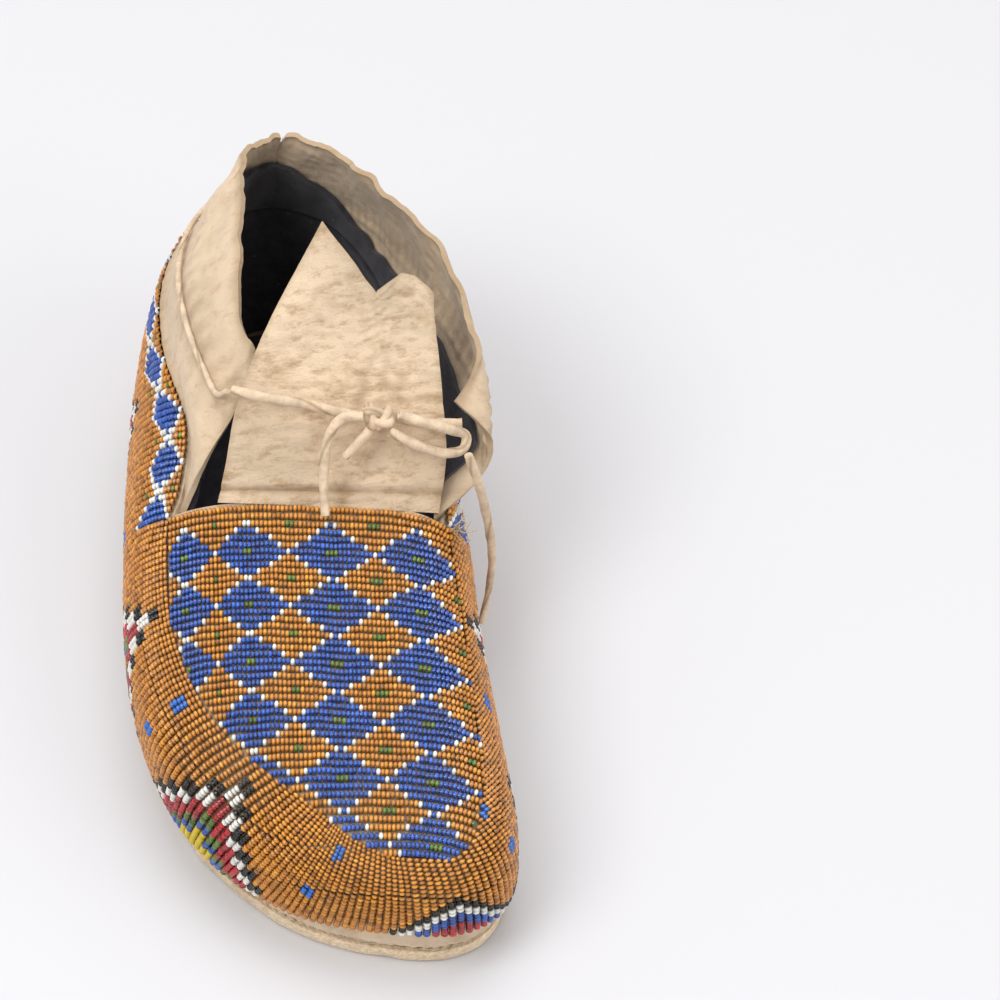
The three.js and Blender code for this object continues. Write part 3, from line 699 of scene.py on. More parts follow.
def thong_material():
    """Tie thong: a narrow strip of soft smoked hide, twisted and rolled between the palms, so that its cut
    edge winds round it as a dark furrow and its faces are burnished in streaks along it."""
    rgb = tuple(bpy.context.scene.moccasin_colours.hide)

    def build(tree, shader, place_at):
        wave = node(tree, "ShaderNodeTexNoise", {"noise_dimensions": "1D", "Scale": 0.18, "Detail": 3},
                    {"W": attribute(tree, "along_mm")}).outputs[0]
        streak = noise(tree, place_at, 1.4, detail=5, rough=0.7)
        base = ramp(tree, wave, [(0.32, shade(rgb, 0.78)), (0.55, shade(rgb, 1.0)), (0.75, shade(rgb, 1.14))])
        tone = mix(tree, ramp(tree, streak, [(0.45, DARK), (0.9, shade(LIGHT, 0.7))]), base,
                   linear("#A98A60"))
        deep = times(tree, attribute(tree, "furrow"), 0.62)
        tree.links.new(mix(tree, deep, tone, linear("#8C6C44")), shader.inputs["Base Color"])
        put(shader, {"Roughness": 0.82, "Sheen Weight": 0.15})
        bump(tree, shader, streak, 0.25, 0.6)
    return surface("rolled_hide_thong", build)


def rawhide_material():
    """Rawhide: scraped, dried skin, hard and horny, yellowish and slightly see-through at its edge, with
    scrape marks along it and patches of darker and paler tone."""
    rgb = tuple(bpy.context.scene.moccasin_colours.rawhide)

    def build(tree, shader, place_at):
        fibre = noise(tree, place_at, 1.1, detail=6, rough=0.7, squeeze=(1, 0.25, 2.2))
        patch = noise(tree, place_at, 16.0, detail=4, seed=2.0)
        base = ramp(tree, patch, [(0.3, shade(rgb, 0.72)), (0.52, rgb), (0.75, shade(rgb, 1.16))])
        tone = mix(tree, ramp(tree, fibre, [(0.40, shade(LIGHT, 0.5)), (0.58, DARK)]), base,
                   linear("#A5855A"))
        tree.links.new(tone, shader.inputs["Base Color"])
        put(shader, {"Roughness": 0.62, "Subsurface Weight": 0.06, "Subsurface Scale": 0.002})
        bump(tree, shader, fibre, 0.35, 0.7)
    return surface("scraped_rawhide", build)


LINT_MM = 5.5  # from one speck of lint to the next


def felt_material():
    """Pressed wool felt, dyed black: matted fibres, a dull bloom at grazing angles and pale lint."""
    rgb = tuple(bpy.context.scene.moccasin_colours.felt)

    def build(tree, shader, place_at):
        fibre = noise(tree, place_at, 0.8, detail=6, rough=0.8, squeeze=(1, 0.5, 1))
        matt = noise(tree, place_at, 6.0, detail=3, seed=1.0)
        base = ramp(tree, matt, [(0.3, shade(rgb, 0.7)), (0.7, shade(rgb, 1.5))])
        lint = node(tree, "ShaderNodeTexVoronoi", {"Scale": 1000 / LINT_MM, "feature": "F1"},
                    {"Vector": place_at})
        speck = times(tree, ramp(tree, lint.outputs["Distance"], [(0.045, LIGHT), (0.075, DARK)]), 0.5)
        tree.links.new(mix(tree, speck, base, linear("#8E8E93")), shader.inputs["Base Color"])
        put(shader, {"Roughness": 1.0, "Sheen Weight": 0.18, "Specular IOR Level": 0.1})
        bump(tree, shader, fibre, 0.4, 0.8)
    return surface("black_wool_felt", build)


def sinew_material():
    """Split sinew: pale, dry fibre, glossier than hide where it is pulled tight."""
    def build(tree, shader, place_at):
        fibre = noise(tree, place_at, 0.5, detail=4, rough=0.7)
        tone = ramp(tree, fibre, [(0.3, linear("#8B6D47")), (0.65, linear("#D5C19B"))])
        tree.links.new(tone, shader.inputs["Base Color"])
        put(shader, {"Roughness": 0.5})
        bump(tree, shader, fibre, 0.1, 0.5)
    return surface("split_sinew", build)


def shared(name, make, *args, **more):
    """A material that several pieces use, made once."""
    return bpy.data.materials.get(name) or make(*args, **more)


def thong_hide():
    return shared("rolled_hide_thong", thong_material)


def felt():
    return shared("black_wool_felt", felt_material)


def sinew():
    return shared("split_sinew", sinew_material)


def bands_hide():
    return shared("smoked_hide_band", hide_material, "smoked_hide_band",
                  tuple(bpy.context.scene.moccasin_colours.hide), stain=0.7, seed=0.4)


def flap_hide():
    return shared("smoked_hide_flap", hide_material, "smoked_hide_flap",
                  shade(tuple(bpy.context.scene.moccasin_colours.hide), 0.93), stain=0.28, seed=4.1)


def tongue_hide():
    return shared("smoked_hide_tongue", hide_material, "smoked_hide_tongue",
                  shade(tuple(bpy.context.scene.moccasin_colours.hide), 0.98), stain=0.55, seed=7.3,
                  wrinkle_mm=2.6, grain=0.9, crackle=0.42, depth=1.2)


# ---------------------------------------------------------------- beadwork


def perimeter(side):
    """Stations along one side of the shoe and the length along the wall from the toe to each."""
    return ARC_G, distances(upper_point(ARC_G, side, v_at(ARC_G, side, 15.0), 0.3))


LEAN_FROM = 6.9  # height above the sole at which a row stands over its own start
# how far a row leans towards the toe for each millimetre up the wall, by its distance from the toe
LEAN = {"l": [[0, 15, 30, 47, 65, 85, 105, 240, 285], [0, 0.17, 0.33, 0.54, 0.54, 0.32, 0.21, 0.2, 0]],
        "m": [[0, 30, 60, 240, 285], [0, 0.08, 0.14, 0.15, 0]]}
# length of bare hide under the beads, by distance from the toe
BARE = {"l": [[0, 15, 35, 60, 90], [12.0, 11.0, 9.4, 7.4, 6.6]],
        "m": [[0, 20, 40, 60], [12.0, 10.0, 7.6, 6.6]]}


def row_station(side, s, arc):
    """Station of a row at a height: the row starts at distance s from the toe and leans by LEAN."""
    g, along = perimeter(side)
    return np.interp(np.clip(s - smooth(s, LEAN[side]) * (arc - LEAN_FROM), 0, along[-1]), along, g)


# stepped hills: side, station of the middle, tallest step in beads
HILLS = [("l", -106.0, 31), ("l", -40.0, 30), ("l", 47.0, 30), ("m", -38.0, 29), ("m", 49.0, 30),
         ("m", -88.0, 20)]
HILL_STEPS = np.array([1.0, 0.83, 0.66, 0.5, 0.33, 0.17])
# depth in beads, from the outline in, at which each colour of a hill starts
HILL_BANDS = [(0.0, BLACK), (3.5, WHITE), (7.0, RED), (13.5, GREEN), (17.0, BLUE), (20.5, YELLOW)]
# the hill at the toe: side, station of its middle, and its height in beads from row to row
TOE_HILL = ("m", -124.0, np.array([12, 11, 10, 9, 7, 6, 4, 3, 1.5]))
TOE_BANDS = [(0.0, BLACK), (2.0, WHITE), (4.5, BLUE), (7.0, RED)]
# small squares: side, station, height above the sole
SQUARES = [("l", -73, 40), ("l", -70, 26), ("l", -124, 35), ("l", -121.5, 22), ("m", -110, 41),
           ("m", -108, 27), ("l", 2, 41.5), ("l", 5, 27), ("m", -65, 36), ("m", -63, 24), ("m", 8, 38),
           ("m", 10, 25), ("l", 92, 38), ("l", 94, 25), ("m", 92, 36), ("m", 94, 24)]
# the chain of diamonds: half width in beads of each row of a period
CHAIN_W = np.array([0.5, 1.5, 3, 4, 5, 4, 3, 1.5])
CHAIN_PERIOD, CHAIN_HALF, CHAIN_START = 8, 5, -1.0
CHAIN_TALL = 2 * CHAIN_HALF + 1
SQUARE_HALF = 1.9


def hill_row(side, where, arc, starts):
    """Number of the row that passes a station at a height."""
    return int(np.argmin(np.abs(row_station(side, starts, arc) - where)))


def side_pattern(side, starts, row, j, count, arc, toe_row):
    """Colour number of each bead of a side band, from its row, its number above the sole and its height."""
    kind = np.full(j.shape, AMBER)
    for s, where, tall in HILLS:
        if s != side:
            continue
        middle = hill_row(side, where, 40.0, starts)
        block = np.abs(np.floor((row - middle) / 2)).astype(int)  # the steps are two rows wide
        last = len(HILL_STEPS) - 1
        depth = np.where(block <= last, tall * HILL_STEPS[np.clip(block, 0, last)], -1) - j
        for start, tone in HILL_BANDS:
            kind = np.where(depth > start, tone, kind)
    steps = TOE_HILL[2]
    signed = (row + 0.5) * (1 if side == TOE_HILL[0] else -1)
    d = np.rint(np.abs(signed - toe_row - 0.5)).astype(int)
    depth = np.where(d < len(steps), steps[np.clip(d, 0, len(steps) - 1)], -1) - j
    for start, tone in TOE_BANDS:
        kind = np.where(depth > start, tone, kind)
    for s, where, height in SQUARES:
        if s == side:
            middle = hill_row(side, where, height, starts)
            level = np.abs(arc - height) < SQUARE_HALF
            kind = np.where(level & ((row == middle) | (row == middle + 1)) & (kind == AMBER), SKY, kind)
    # chain of diamonds under the ankle flap
    first = hill_row(side, CHAIN_START, 45.0, starts)
    phase = np.mod(row - first - CHAIN_PERIOD // 2, CHAIN_PERIOD)
    w = CHAIN_W[phase]
    across = np.abs(count - 1 - j - CHAIN_HALF)
    chain = (row >= first) & (across <= CHAIN_HALF + 0.5)
    link = np.where(across > w + 0.5, AMBER, np.where(across < w - 0.5, BLUE, WHITE))
    link = np.where((phase == 0) & (np.abs(across - 4) < 0.6), GREEN, link)
    return np.where(chain, link, kind)


# a bead's rings: place along it as a share of its length, and radius as a share of its own
BEAD_RINGS = np.array([-0.5, -0.21, 0.21, 0.5])
BEAD_RADII = np.array([0.45, 1.0, 1.0, 0.45])
BEAD_SIDES = 8
BEAD_ANGLES = (np.arange(BEAD_SIDES) + 0.5) / BEAD_SIDES * 2 * np.pi


def ring_by_ring(sides, rings, n, verts):
    """Points and faces of n closed tubes, numbered ring by ring: walls and flat ends."""
    quads = grid_faces(sides, rings, wrap=True)  # numbered column by column
    quads = (quads % rings) * sides + quads // rings
    per = rings * sides
    ends = np.stack([np.arange(sides), per - 1 - np.arange(sides)])
    first = (np.arange(n) * per)[:, None, None]
    return verts.reshape(-1, 3), [(first + quads[None]).reshape(-1, 4),
                                  (first + ends[None]).reshape(-1, sides)]


def bead_cloud(centre, axis, out, length, width):
    """Barrel-shaped beads: four rings of eight points about each axis, closed by flat ends."""
    across = np.cross(out, axis)
    turn = BEAD_ANGLES[None, :, None]
    ring = across[:, None] * np.cos(turn) + out[:, None] * np.sin(turn)
    p = (centre[:, None, None] + axis[:, None, None] * (length[:, None] * BEAD_RINGS)[..., None, None]
         + ring[:, None] * (width[:, None] / 2 * BEAD_RADII)[..., None, None])
    return ring_by_ring(BEAD_SIDES, len(BEAD_RINGS), len(centre), p)


def bead_piece(name, cloud, kind, tint, body, nodes):
    verts, (quads, ends) = cloud
    n = len(kind)
    kinds = np.concatenate([np.repeat(kind, len(quads) // n), np.repeat(kind, len(ends) // n)])
    # painted shade: full on a bead's end rings, and on its middle rings towards the underside, so that only
    # the top stays bright
    end, under = np.full(BEAD_SIDES, 0.9), 0.95 * np.clip(0.75 - np.sin(BEAD_ANGLES), 0, 1)
    values = {"bead_tint": np.repeat(tint, len(verts) // n),
              "bead_end": np.tile([end, under, under, end], (n, 1))}
    return make_piece(name, verts, [quads, ends], bead_materials(), body, nodes, values, kinds)


UNDER_FLAP, BESIDE_PANEL = 0.3, 0.35  # how far the rows run past the shoulder


def row_tops(side, s):
    """Height at which each row meets the panel's edge or the ankle flap, by repeated substitution."""
    top = np.full(len(s), 45.0)
    for _ in range(12):
        g = row_station(side, s, top)
        top = 0.5 * top + 0.5 * (smooth(g, SHOULDER[side]) + np.where(g > G_THROAT, UNDER_FLAP, BESIDE_PANEL))
    return top


def side_beads(side, seed):
    """All beads of one side band as flat arrays: centre, axis, normal, length, width, colour and lane."""
    sizes = bpy.context.scene.moccasin_sizes
    stepped, width, lane = sizes.bead_step * 1000, sizes.bead_width * 1000, sizes.lane_beads
    whole = perimeter(side)[1][-1]
    n = int(round(whole / (sizes.side_pitch * 1000)))
    starts = (np.arange(n) + 0.5) * whole / n
    edges = np.arange(n + 1) * whole / n
    bare = smooth(starts, BARE[side])
    top = row_tops(side, starts) - bare
    slant = np.hypot(1, smooth(starts, LEAN[side]))
    count = np.rint(top * slant / stepped).astype(int)
    row = np.repeat(np.arange(n), count)
    j = np.arange(len(row)) - np.repeat(np.cumsum(count) - count, count)
    own, pitch = count[row], (top / count)[row]
    behind = row_station(side, starts, 45.0)[row] > CHAIN_START - 1
    # each lane is a hump between two lines of stitches; one of fewer than four beads joins the lane below it
    chain = behind & (own - j <= CHAIN_TALL)
    low = np.where(chain, own - CHAIN_TALL, (j // lane) * lane)
    high = np.where(chain, own, np.minimum(low + lane, np.where(behind, own - CHAIN_TALL, own)))
    high = np.where((own - high < 4) & ~behind, own, high)
    low = np.where((own - low < 4) & ~behind, np.maximum(low - lane, 0), low)
    middle, half = (low + high) / 2, np.maximum((high - low) / 2, 1)
    across = (j + 0.5 - middle) / half
    arc = bare[row] + (middle + (j + 0.5 - middle) * 0.975) * pitch
    rng = np.random.default_rng(seed)
    wobble = rng.normal(size=(4, len(j)))
    bulge = 0.16 * (1 - across ** 2) + 0.05 * wobble[0]
    s = starts[row] + 0.10 * np.sin(row * 1.7) * across + 0.05 * wobble[1]
    g = row_station(side, s, arc)
    v = v_at(g, side, arc)
    left, right = (row_station(side, edges[row + k], arc) for k in (0, 1))
    spread = upper_point(right, side, v, 1.3) - upper_point(left, side, v, 1.3)
    w = np.clip(np.linalg.norm(spread, axis=1) * 0.94, 1.0, width * 1.06) * (1 + 0.03 * wobble[2])
    off = GAP + w / 2 + bulge
    p, _, out = upper_frame(g, side, v, off)
    above, below = (upper_point(h, side, v_at(h, side, a), off)
                    for a, h in ((a, row_station(side, s, a)) for a in (arc + 0.4, arc - 0.4)))
    up = unit(above - below)
    toe_row = hill_row("m", TOE_HILL[1], 14.0, (np.arange(20) + 0.5) * 2.35)
    kind = side_pattern(side, starts, row, j, own, arc, toe_row)
    length = pitch * slant[row] * (0.93 + 0.025 * wobble[3])
    tint = np.clip(0.5 + 0.17 * rng.normal(size=len(j)), 0, 1)
    return p, up, out, length, w, kind, tint, np.minimum(j // lane, 2)


# the panel's pattern: distances across it in millimetres and the diamond columns there, twenty to a diamond
PANEL_COLUMNS = [[-70.0, -56.0, -42.4, -23.9, 0.0, 24.4, 48.6, 72.0, 96.0],
                 [-80, -60, -40, -20, 0, 20, 40, 60, 80]]
PANEL_W = np.array([1.0, 3, 5.5, 8, 10, 8, 6, 3])  # half width of a diamond in each of its rows
PANEL_SLOPE = 0.99
PANEL_EDGE = -0.3  # the panel reaches this far past its edge


def panel_row(station, n=260):
    """The line of one station over the upper, from the outer widest line over the ridge to the inner one:
    points, the side, and how far each point lies above the panel's edge along its own profile."""
    v = LOW + (1 - LOW) * np.sin(np.linspace(0.1, 1, n) * np.pi / 2)
    out = []
    for side in "lm":
        g = np.full(n, float(station))
        for _ in range(30):  # the profile through each point, by repeated substitution
            p = upper_point(g, side, v, 0.0)
            miss = p[:, 1] + SKEW * p[:, 0] - station
            g = np.clip(g - miss * 1.2, G_TOE, 40)
        arcs = profile_arcs(g, side)
        arc = np.array([np.interp(a, V_TABLE, b) for a, b in zip(v, arcs)])
        true = np.abs(miss) < 0.05
        out.append((g[true], v[true], (arc - smooth(g, SHOULDER[side]))[true]))
    g = np.concatenate([out[0][0], out[1][0][::-1][1:]])
    v = np.concatenate([out[0][1], out[1][1][::-1][1:]])
    over = np.concatenate([out[0][2], out[1][2][::-1][1:]])
    lateral = np.arange(len(g)) < len(out[0][0])
    return g, v, over, lateral


def row_points(g, v, lateral, off):
    """Points of a row of panel_row at a distance from the hide."""
    return np.where(lateral[:, None], upper_point(g, "l", v, off), upper_point(g, "m", v, off))


def panel_middle(station):
    """Where the middle line of the panel crosses a station, across the foot."""
    return 9.5 + 0.08 * (station + 19)


def panel_stations(pitch):
    """Stations of the panel's rows: evenly spaced along its middle line, over the slope of the toe too."""
    stations, middle = [], []
    for station in np.concatenate([np.linspace(G_THROAT, G_TOE + 14, 30)[:-1],
                                   np.linspace(G_TOE + 14, G_TOE, 60)]):
        g, v, over, lateral = panel_row(station, 160)
        if (over > PANEL_EDGE).sum() < 3:  # past the front of the panel
            break
        p = row_points(g, v, lateral, GAP)
        stations.append(station)
        middle.append(points_at(panel_middle(station), p[:, 0], p))
    along = distances(middle)
    n = int(round(along[-1] / (pitch * PANEL_SLOPE)))
    return np.interp((np.arange(n) + 0.5) * along[-1] / n, along, stations)


def vamp_beads(seed):
    """All beads of the panel as flat arrays."""
    sizes = bpy.context.scene.moccasin_sizes
    width, stepped, pitch = sizes.bead_width * 1000, sizes.bead_step * 1000, sizes.vamp_pitch * 1000
    rng = np.random.default_rng(seed)
    made = []
    for k, station in enumerate(panel_stations(pitch)):
        g, v, over, lateral = panel_row(station)
        keep = over > PANEL_EDGE
        if keep.sum() < 3:
            continue
        off = GAP + width / 2
        p = row_points(g, v, lateral, off)
        q = row_points(np.clip(g + 0.4, G_TOE, G_HEEL), v, lateral, off)
        a = distances(p)
        lo, hi = a[keep].min(), a[keep].max()
        n = int((hi - lo) / stepped)
        zero = np.interp(panel_middle(station), p[:, 0], a)
        # one bead sits on the middle column, so that its diamonds come out even
        start = zero + (np.ceil((lo + stepped / 2 - zero) / stepped)) * stepped
        at = start + np.arange(n) * stepped
        at = at[at < hi - stepped * 0.45]
        n = len(at)
        if n < 2:
            continue
        lattice = np.interp(at - zero, PANEL_COLUMNS[0], PANEL_COLUMNS[1])
        away = np.abs(np.mod(lattice + 10, 20) - 10)
        phase = (k - 2) % 8
        w = PANEL_W[phase]
        kind = np.where(away > w + 0.5, AMBER, np.where(away < w - 0.5, BLUE, WHITE))
        kind = np.where((phase == 4) & (away < 1.1), GREEN, kind)
        kind = np.where((phase == 0) & (away > 8.9), GREEN, kind)
        if k < 2:
            kind[:] = AMBER
        centre, back = points_at(at, a, p), points_at(at, a, q - p)
        axis = unit(points_at(at + 0.3, a, p) - points_at(at - 0.3, a, p))
        out = unit(np.cross(axis, back))
        out = out * np.sign(out[:, 2:3] + 1e-9)
        # rows lie in little hills between the tacking stitches, one tack for each half diamond
        bulge = 0.14 * np.cos(np.mod(lattice, 10) / 10 * 2 * np.pi - np.pi)
        centre = centre + out * (bulge + 0.05 * rng.normal(size=n))[:, None]
        centre = centre + unit(back) * (0.10 * np.sin(lattice * np.pi / 5 + k)
                                        + 0.05 * rng.normal(size=n))[:, None]
        made.append((centre, axis, out, np.full(n, stepped * 0.94) * (1 + 0.03 * rng.normal(size=n)),
                     np.full(n, min(width, pitch * 0.9)) * (1 + 0.03 * rng.normal(size=n)), kind,
                     np.clip(0.5 + 0.17 * rng.normal(size=n), 0, 1), (lattice > -2).astype(int)))
    return [np.concatenate(x) for x in zip(*made)]


# ---------------------------------------------------------------- operators


# degrees round from the toe and up from the floor, focal length, and place in the maker's axes
CAMERA_AZIMUTH, CAMERA_TILT, CAMERA_LENS, CAMERA_PLACE = -8.0, 46.0, 172.4, (-72.39, -943.66, 1034.09)


class MOCCASIN_OT_camera(bpy.types.Operator):
    """Camera above and a little to the outer side of the toe"""
    bl_idname = "moccasin.camera"
    bl_label = "Camera"

    def execute(self, context):
        data = bpy.data.cameras.new("camera")
        data.sensor_width, data.lens = 36, CAMERA_LENS
        data.clip_start, data.clip_end = 0.05, 20
        cam = bpy.data.objects.new("camera", data)
        context.scene.collection.objects.link(cam)
        azimuth, tilt = math.radians(CAMERA_AZIMUTH), math.radians(CAMERA_TILT)
        back = np.array([math.sin(azimuth) * math.cos(tilt), -math.cos(azimuth) * math.cos(tilt),
                         math.sin(tilt)])
        right = unit(np.cross([0, 0, 1], back))
        up = np.cross(back, right)
        where = place(CAMERA_PLACE)
        cam.matrix_world = Matrix([[right[i], up[i], back[i], where[i]] for i in range(3)] + [[0, 0, 0, 1]])
        context.scene.camera = cam
        return {"FINISHED"}


def wrap_route(side, t0, t1, n):
    """Where the tie lies on the outside of a flap, just under the cuff's fold."""
    t = np.linspace(t0, t1, n)
    w = fold_w(t) - 0.14
    return flap_point(side, t, w) + flap_normal(side, t, w) * (HIDE_T / 2 + 1.0)


def thong_piece(name, mesh, cad):
    """A piece of the tie from what strip_mesh gives."""
    verts, faces, along, furrow = mesh
    obj = make_piece(name, verts, faces, [thong_hide()], "shoe", [cad],
                     {"along_mm": along, "furrow": furrow})
    return crisp(obj, 60)


class MOCCASIN_OT_tie(bpy.types.Operator):
    """Rolled hide thong round the ankle, its knot, bow loop and tails"""
    bl_idname = "moccasin.tie"
    bl_label = "Tie thong"

    def execute(self, context):
        sizes = context.scene.moccasin_sizes
        narrow, tail = sizes.thong_width * 1000 * PULLED, sizes.tail_width * 1000
        knot = self.knot(narrow)
        # name, points, steps, width, seed of the unevenness, taper, and the far end and lay of a cord
        stretches = [
            ("outer_wrap", np.vstack([wrap_route("l", 0.97, 0.075, 15), SLIT]), 120, WRAP_WIDE, 3, 0,
             "object", "taut"),
            ("inner_wrap", wrap_route("m", 0.97, 0.12, 16), 120, WRAP_WIDE, 4, 0, "object", "taut"),
            ("outer_span", SPAN_OUTER, 50, narrow, 9, 0, "knot", "taut"),
            ("inner_span", SPAN_INNER, 34, narrow, 10, 0, None, None),
            ("bow_loop", BOW, 70, narrow, 5, 0, "object", "loose"),
            ("long_tail", LONG_TAIL, 50, narrow, 6, 0.12, "bare", "hanging"),
            ("hanging_tail", HANGING_TAIL, 80, tail, 7, 0.3, "bare", "hanging"),
            ("short_tail", SHORT_TAIL, 24, narrow, 8, 0.2, None, None)]
        for name, points, steps, width, seed, thin, far_end, lay in stretches:
            path = centripetal(points, steps)
            obj = thong_piece("tie_" + name, strip_mesh(path, width, seed, thin=thin), "thong_" + name)
        return {"FINISHED"}

    @staticmethod
    def knot(width):
        """A pulled-down bow knot: two turns round the run and one strand that crosses over them in front."""
        ax = unit(np.array([0.97, -0.12, -0.20]))
        front = unit(np.array([0.05, -0.72, 0.69]) - ax * (np.array([0.05, -0.72, 0.69]) @ ax))
        high = np.cross(ax, front)
        a = np.arange(44) / 44 * 2 * np.pi

        def loop(shift, lean, wide, deep, tip):
            return (KNOT + ax * (shift + lean * np.sin(a + tip))[:, None]
                    + front * (deep * np.cos(a))[:, None] + high * (wide * np.sin(a))[:, None])
        paths = [loop(-1.9, 0.9, 2.9, 2.2, 0.4), loop(1.7, -1.1, 2.7, 2.3, -0.3)]
        across = (KNOT + ax * (3.7 * np.cos(a))[:, None] + high * (1.4 * np.sin(a) + 0.7 * np.cos(a))[:, None]
                  + front * (2.2 + 0.8 * np.sin(2 * a))[:, None])
        parts = [strip_mesh(p, width * 0.88, 20 + i, closed=True, turn=14, sides=16)
                 for i, p in enumerate(paths + [across])]
        return thong_piece("tie_knot", joined(parts), "thong_knot")


def loop_stations(per_side):
    """Stations all round the shoe: heel to toe on the outer side, toe to heel on the inner one."""
    out = []
    for side in "lm":
        along = distances(upper_point(ARC_G, side, 0.1, 0))
        out.append(np.interp(np.linspace(0, along[-1], per_side + 1), along, ARC_G))
    return out[0][::-1], out[1][1:-1]


def round_grid(per_side, f):
    """A closed band round the shoe: f(station array, side) gives rows of points."""
    left, right = loop_stations(per_side)
    return np.vstack([f(left, "l"), f(right, "m")])


class MOCCASIN_OT_sole(bpy.types.Operator):
    """Rawhide sole with a rough cut edge, and the felt insole on it"""
    bl_idname = "moccasin.sole"
    bl_label = "Sole"

    def execute(self, context):
        rim = [(0.0, 0.0), (0.5, 0.0), (0.9, 0.0), (1.0, 0.35), (1.0, 1.2), (1.0, 2.2), (1.0, 3.2),
               (1.0, 3.8), (0.92, 4.0), (0.5, 4.0), (0.0, 4.0)]
        self.plate("sole", rim, 0.8, scraped=True, nodes=["rawhide_sole"], slot="rawhide",
                   material=shared("scraped_rawhide", rawhide_material))
        low = SOLE_T + GAP
        rim = [(0.0, low), (0.6, low), (1.0, low + 0.2), (1.0, low + INSOLE_T - 0.3), (0.97, low + INSOLE_T),
               (0.5, low + INSOLE_T), (0.0, low + INSOLE_T)]
        self.plate("insole", rim, -HIDE_T - 0.6, scraped=False, nodes=["felt_insole"], slot="black_felt",
                   material=felt())
        return {"FINISHED"}

    @staticmethod
    def plate(name, rim, off, scraped, nodes, slot, material):
        """A flat piece: each section runs from the spine out to the sole line and back."""
        share, z = np.array(rim).T

        def band(g, side):
            edge = upper_point(g, side, 0.0, off)[:, None]
            ridge = upper_point(g, side, 1.0, 0.0)[:, None]
            along = np.arange(len(g))[:, None] * (1.0 if side == "l" else -1.0)
            rough = 0.0
            if scraped:
                belly = np.sin(np.clip(z / SOLE_T, 0, 1) * np.pi)[None]
                rough = (0.28 * belly - 0.32
                         + 0.13 * ripple(along * 1.5, z[None] * 3, 5, 9.0)) * (share > 0.8)
            xy = ridge[..., :2] + (edge - ridge)[..., :2] * share[None, :, None]
            xy = xy + unit((edge - ridge)[..., :2]) * np.broadcast_to(rough, xy.shape[:2])[..., None]
            lift = np.broadcast_to(z, xy.shape[:2])
            return np.concatenate([xy, lift[..., None]], -1)
        left, right = loop_stations(150)
        rows = np.vstack([band(left, "l"), band(right, "m")])
        verts, faces = rows.reshape(-1, 3), grid_faces(len(rows), len(rim), wrap=True)
        return crisp(make_piece(name, verts, faces, [material], "shoe", nodes, merge=True), 50)


def wall_layer(g, side, arcs, off):
    """Points of the wall at stations g and heights arcs, off the hide's outer face."""
    return upper_point(g[:, None], side, v_at(g[:, None], side, arcs), off)


def dome_layer(off, back, rows=70, cols=90):
    """The part of the upper between its two shoulders, as lines of constant station from the vamp edge to
    the toe."""
    out = []
    for station in back + (G_TOE + 3.5 - back) * np.linspace(0, 1, rows) ** 1.15:
        g, v, over, lateral = panel_row(station)
        p = row_points(g, v, lateral, off)
        keep = over > -2.5
        if keep.sum() < 3:
            break
        a = distances(p)
        out.append(points_at(np.linspace(a[keep].min(), a[keep].max(), cols), a, p))
    return np.array(out)


class MOCCASIN_OT_upper(bpy.types.Operator):
    """Hide of the upper: the wall all round and the vamp"""
    bl_idname = "moccasin.upper"
    bl_label = "Upper hide"

    def execute(self, context):
        share = np.concatenate([[0, 0.012, 0.025, 0.04, 0.055, 0.075, 0.1], np.linspace(0.14, 1, 22)])

        def wall(face):
            def band(g, side):
                arcs = share[None] * smooth(g, SHOULDER[side])[:, None]
                k = np.arange(len(g))[:, None] * 1.1 * (1 if side == "l" else -1)
                low = 1 - step(arcs, 1.5, 7)
                pucker = 0.22 * np.cos(k * 2 * np.pi / 3.3) * low + 0.16 * ripple(k, arcs, 11, 14) * low
                groove = (-0.75 * np.exp(-((arcs - 1.3) / 0.55) ** 2)
                          + 0.35 * np.exp(-((arcs - 3.2) / 1.4) ** 2))
                return wall_layer(g, side, arcs, face + pucker + groove * (1 if face == 0 else 0.3))
            return band
        outer, inner = round_grid(300, wall(0.0)), round_grid(300, wall(-HIDE_T))
        verts, faces = shell(outer, inner, wrap=True)
        height = np.broadcast_to(share * 45, outer.shape[:2]).ravel()
        # painted shade in the stitch groove 1.3 mm above the sole, and the hide a little darker from 4.5 to
        # 6.5 mm up
        wear = 0.75 * np.exp(-((height - 1.3) / 0.55) ** 2) + 0.12 * step(height, 4.5, 6.5)
        obj = make_piece("upper_wall", verts, faces, [bands_hide()], "shoe", ["upper_hide"],
                         {"wear": np.concatenate([wear, wear])})
        crisp(obj, 60)
        outer, inner = dome_layer(0.0, G_THROAT + 1.6), dome_layer(-HIDE_T, G_THROAT + 1.6)
        n = min(len(outer), len(inner))
        verts, faces = shell(outer[:n], inner[:n])
        crisp(make_piece("upper_vamp", verts, faces, [bands_hide()], "shoe", ["upper_hide"],
                         {"wear": np.full(len(verts), 0.2)}), 60)
        return {"FINISHED"}


class MOCCASIN_OT_beads(bpy.types.Operator):
    """Lane-stitched seed beads on both sides and on the panel"""
    bl_idname = "moccasin.beads"
    bl_label = "Beadwork"

    def execute(self, context):
        for side, word, seed in (("l", "lateral", 31), ("m", "medial", 32)):
            p, up, out, length, w, kind, tint, lane = side_beads(side, seed)
            for k, level in enumerate(("lower", "middle", "upper")):
                s = lane == k
                node_name = f"{word}_{level}_bead_lane"
                bead_piece(f"{word}_{level}_beads", bead_cloud(p[s], up[s], out[s], length[s], w[s]), kind[s],
                           tint[s], "shoe", [node_name])
        p, axis, out, length, w, kind, tint, half = vamp_beads(33)
        for k, word in enumerate(("outer", "inner")):
            s = half == k
            bead_piece(f"panel_{word}_beads", bead_cloud(p[s], axis[s], out[s], length[s], w[s]), kind[s],
                       tint[s], "shoe", ["vamp_beadwork"])
        return {"FINISHED"}


FLAP_LONG, FLAP_HIGH = 150, 42  # millimetres of hide along and up a flap
FLAP_FRONT, FLAP_BACK = 0.012, 0.9985


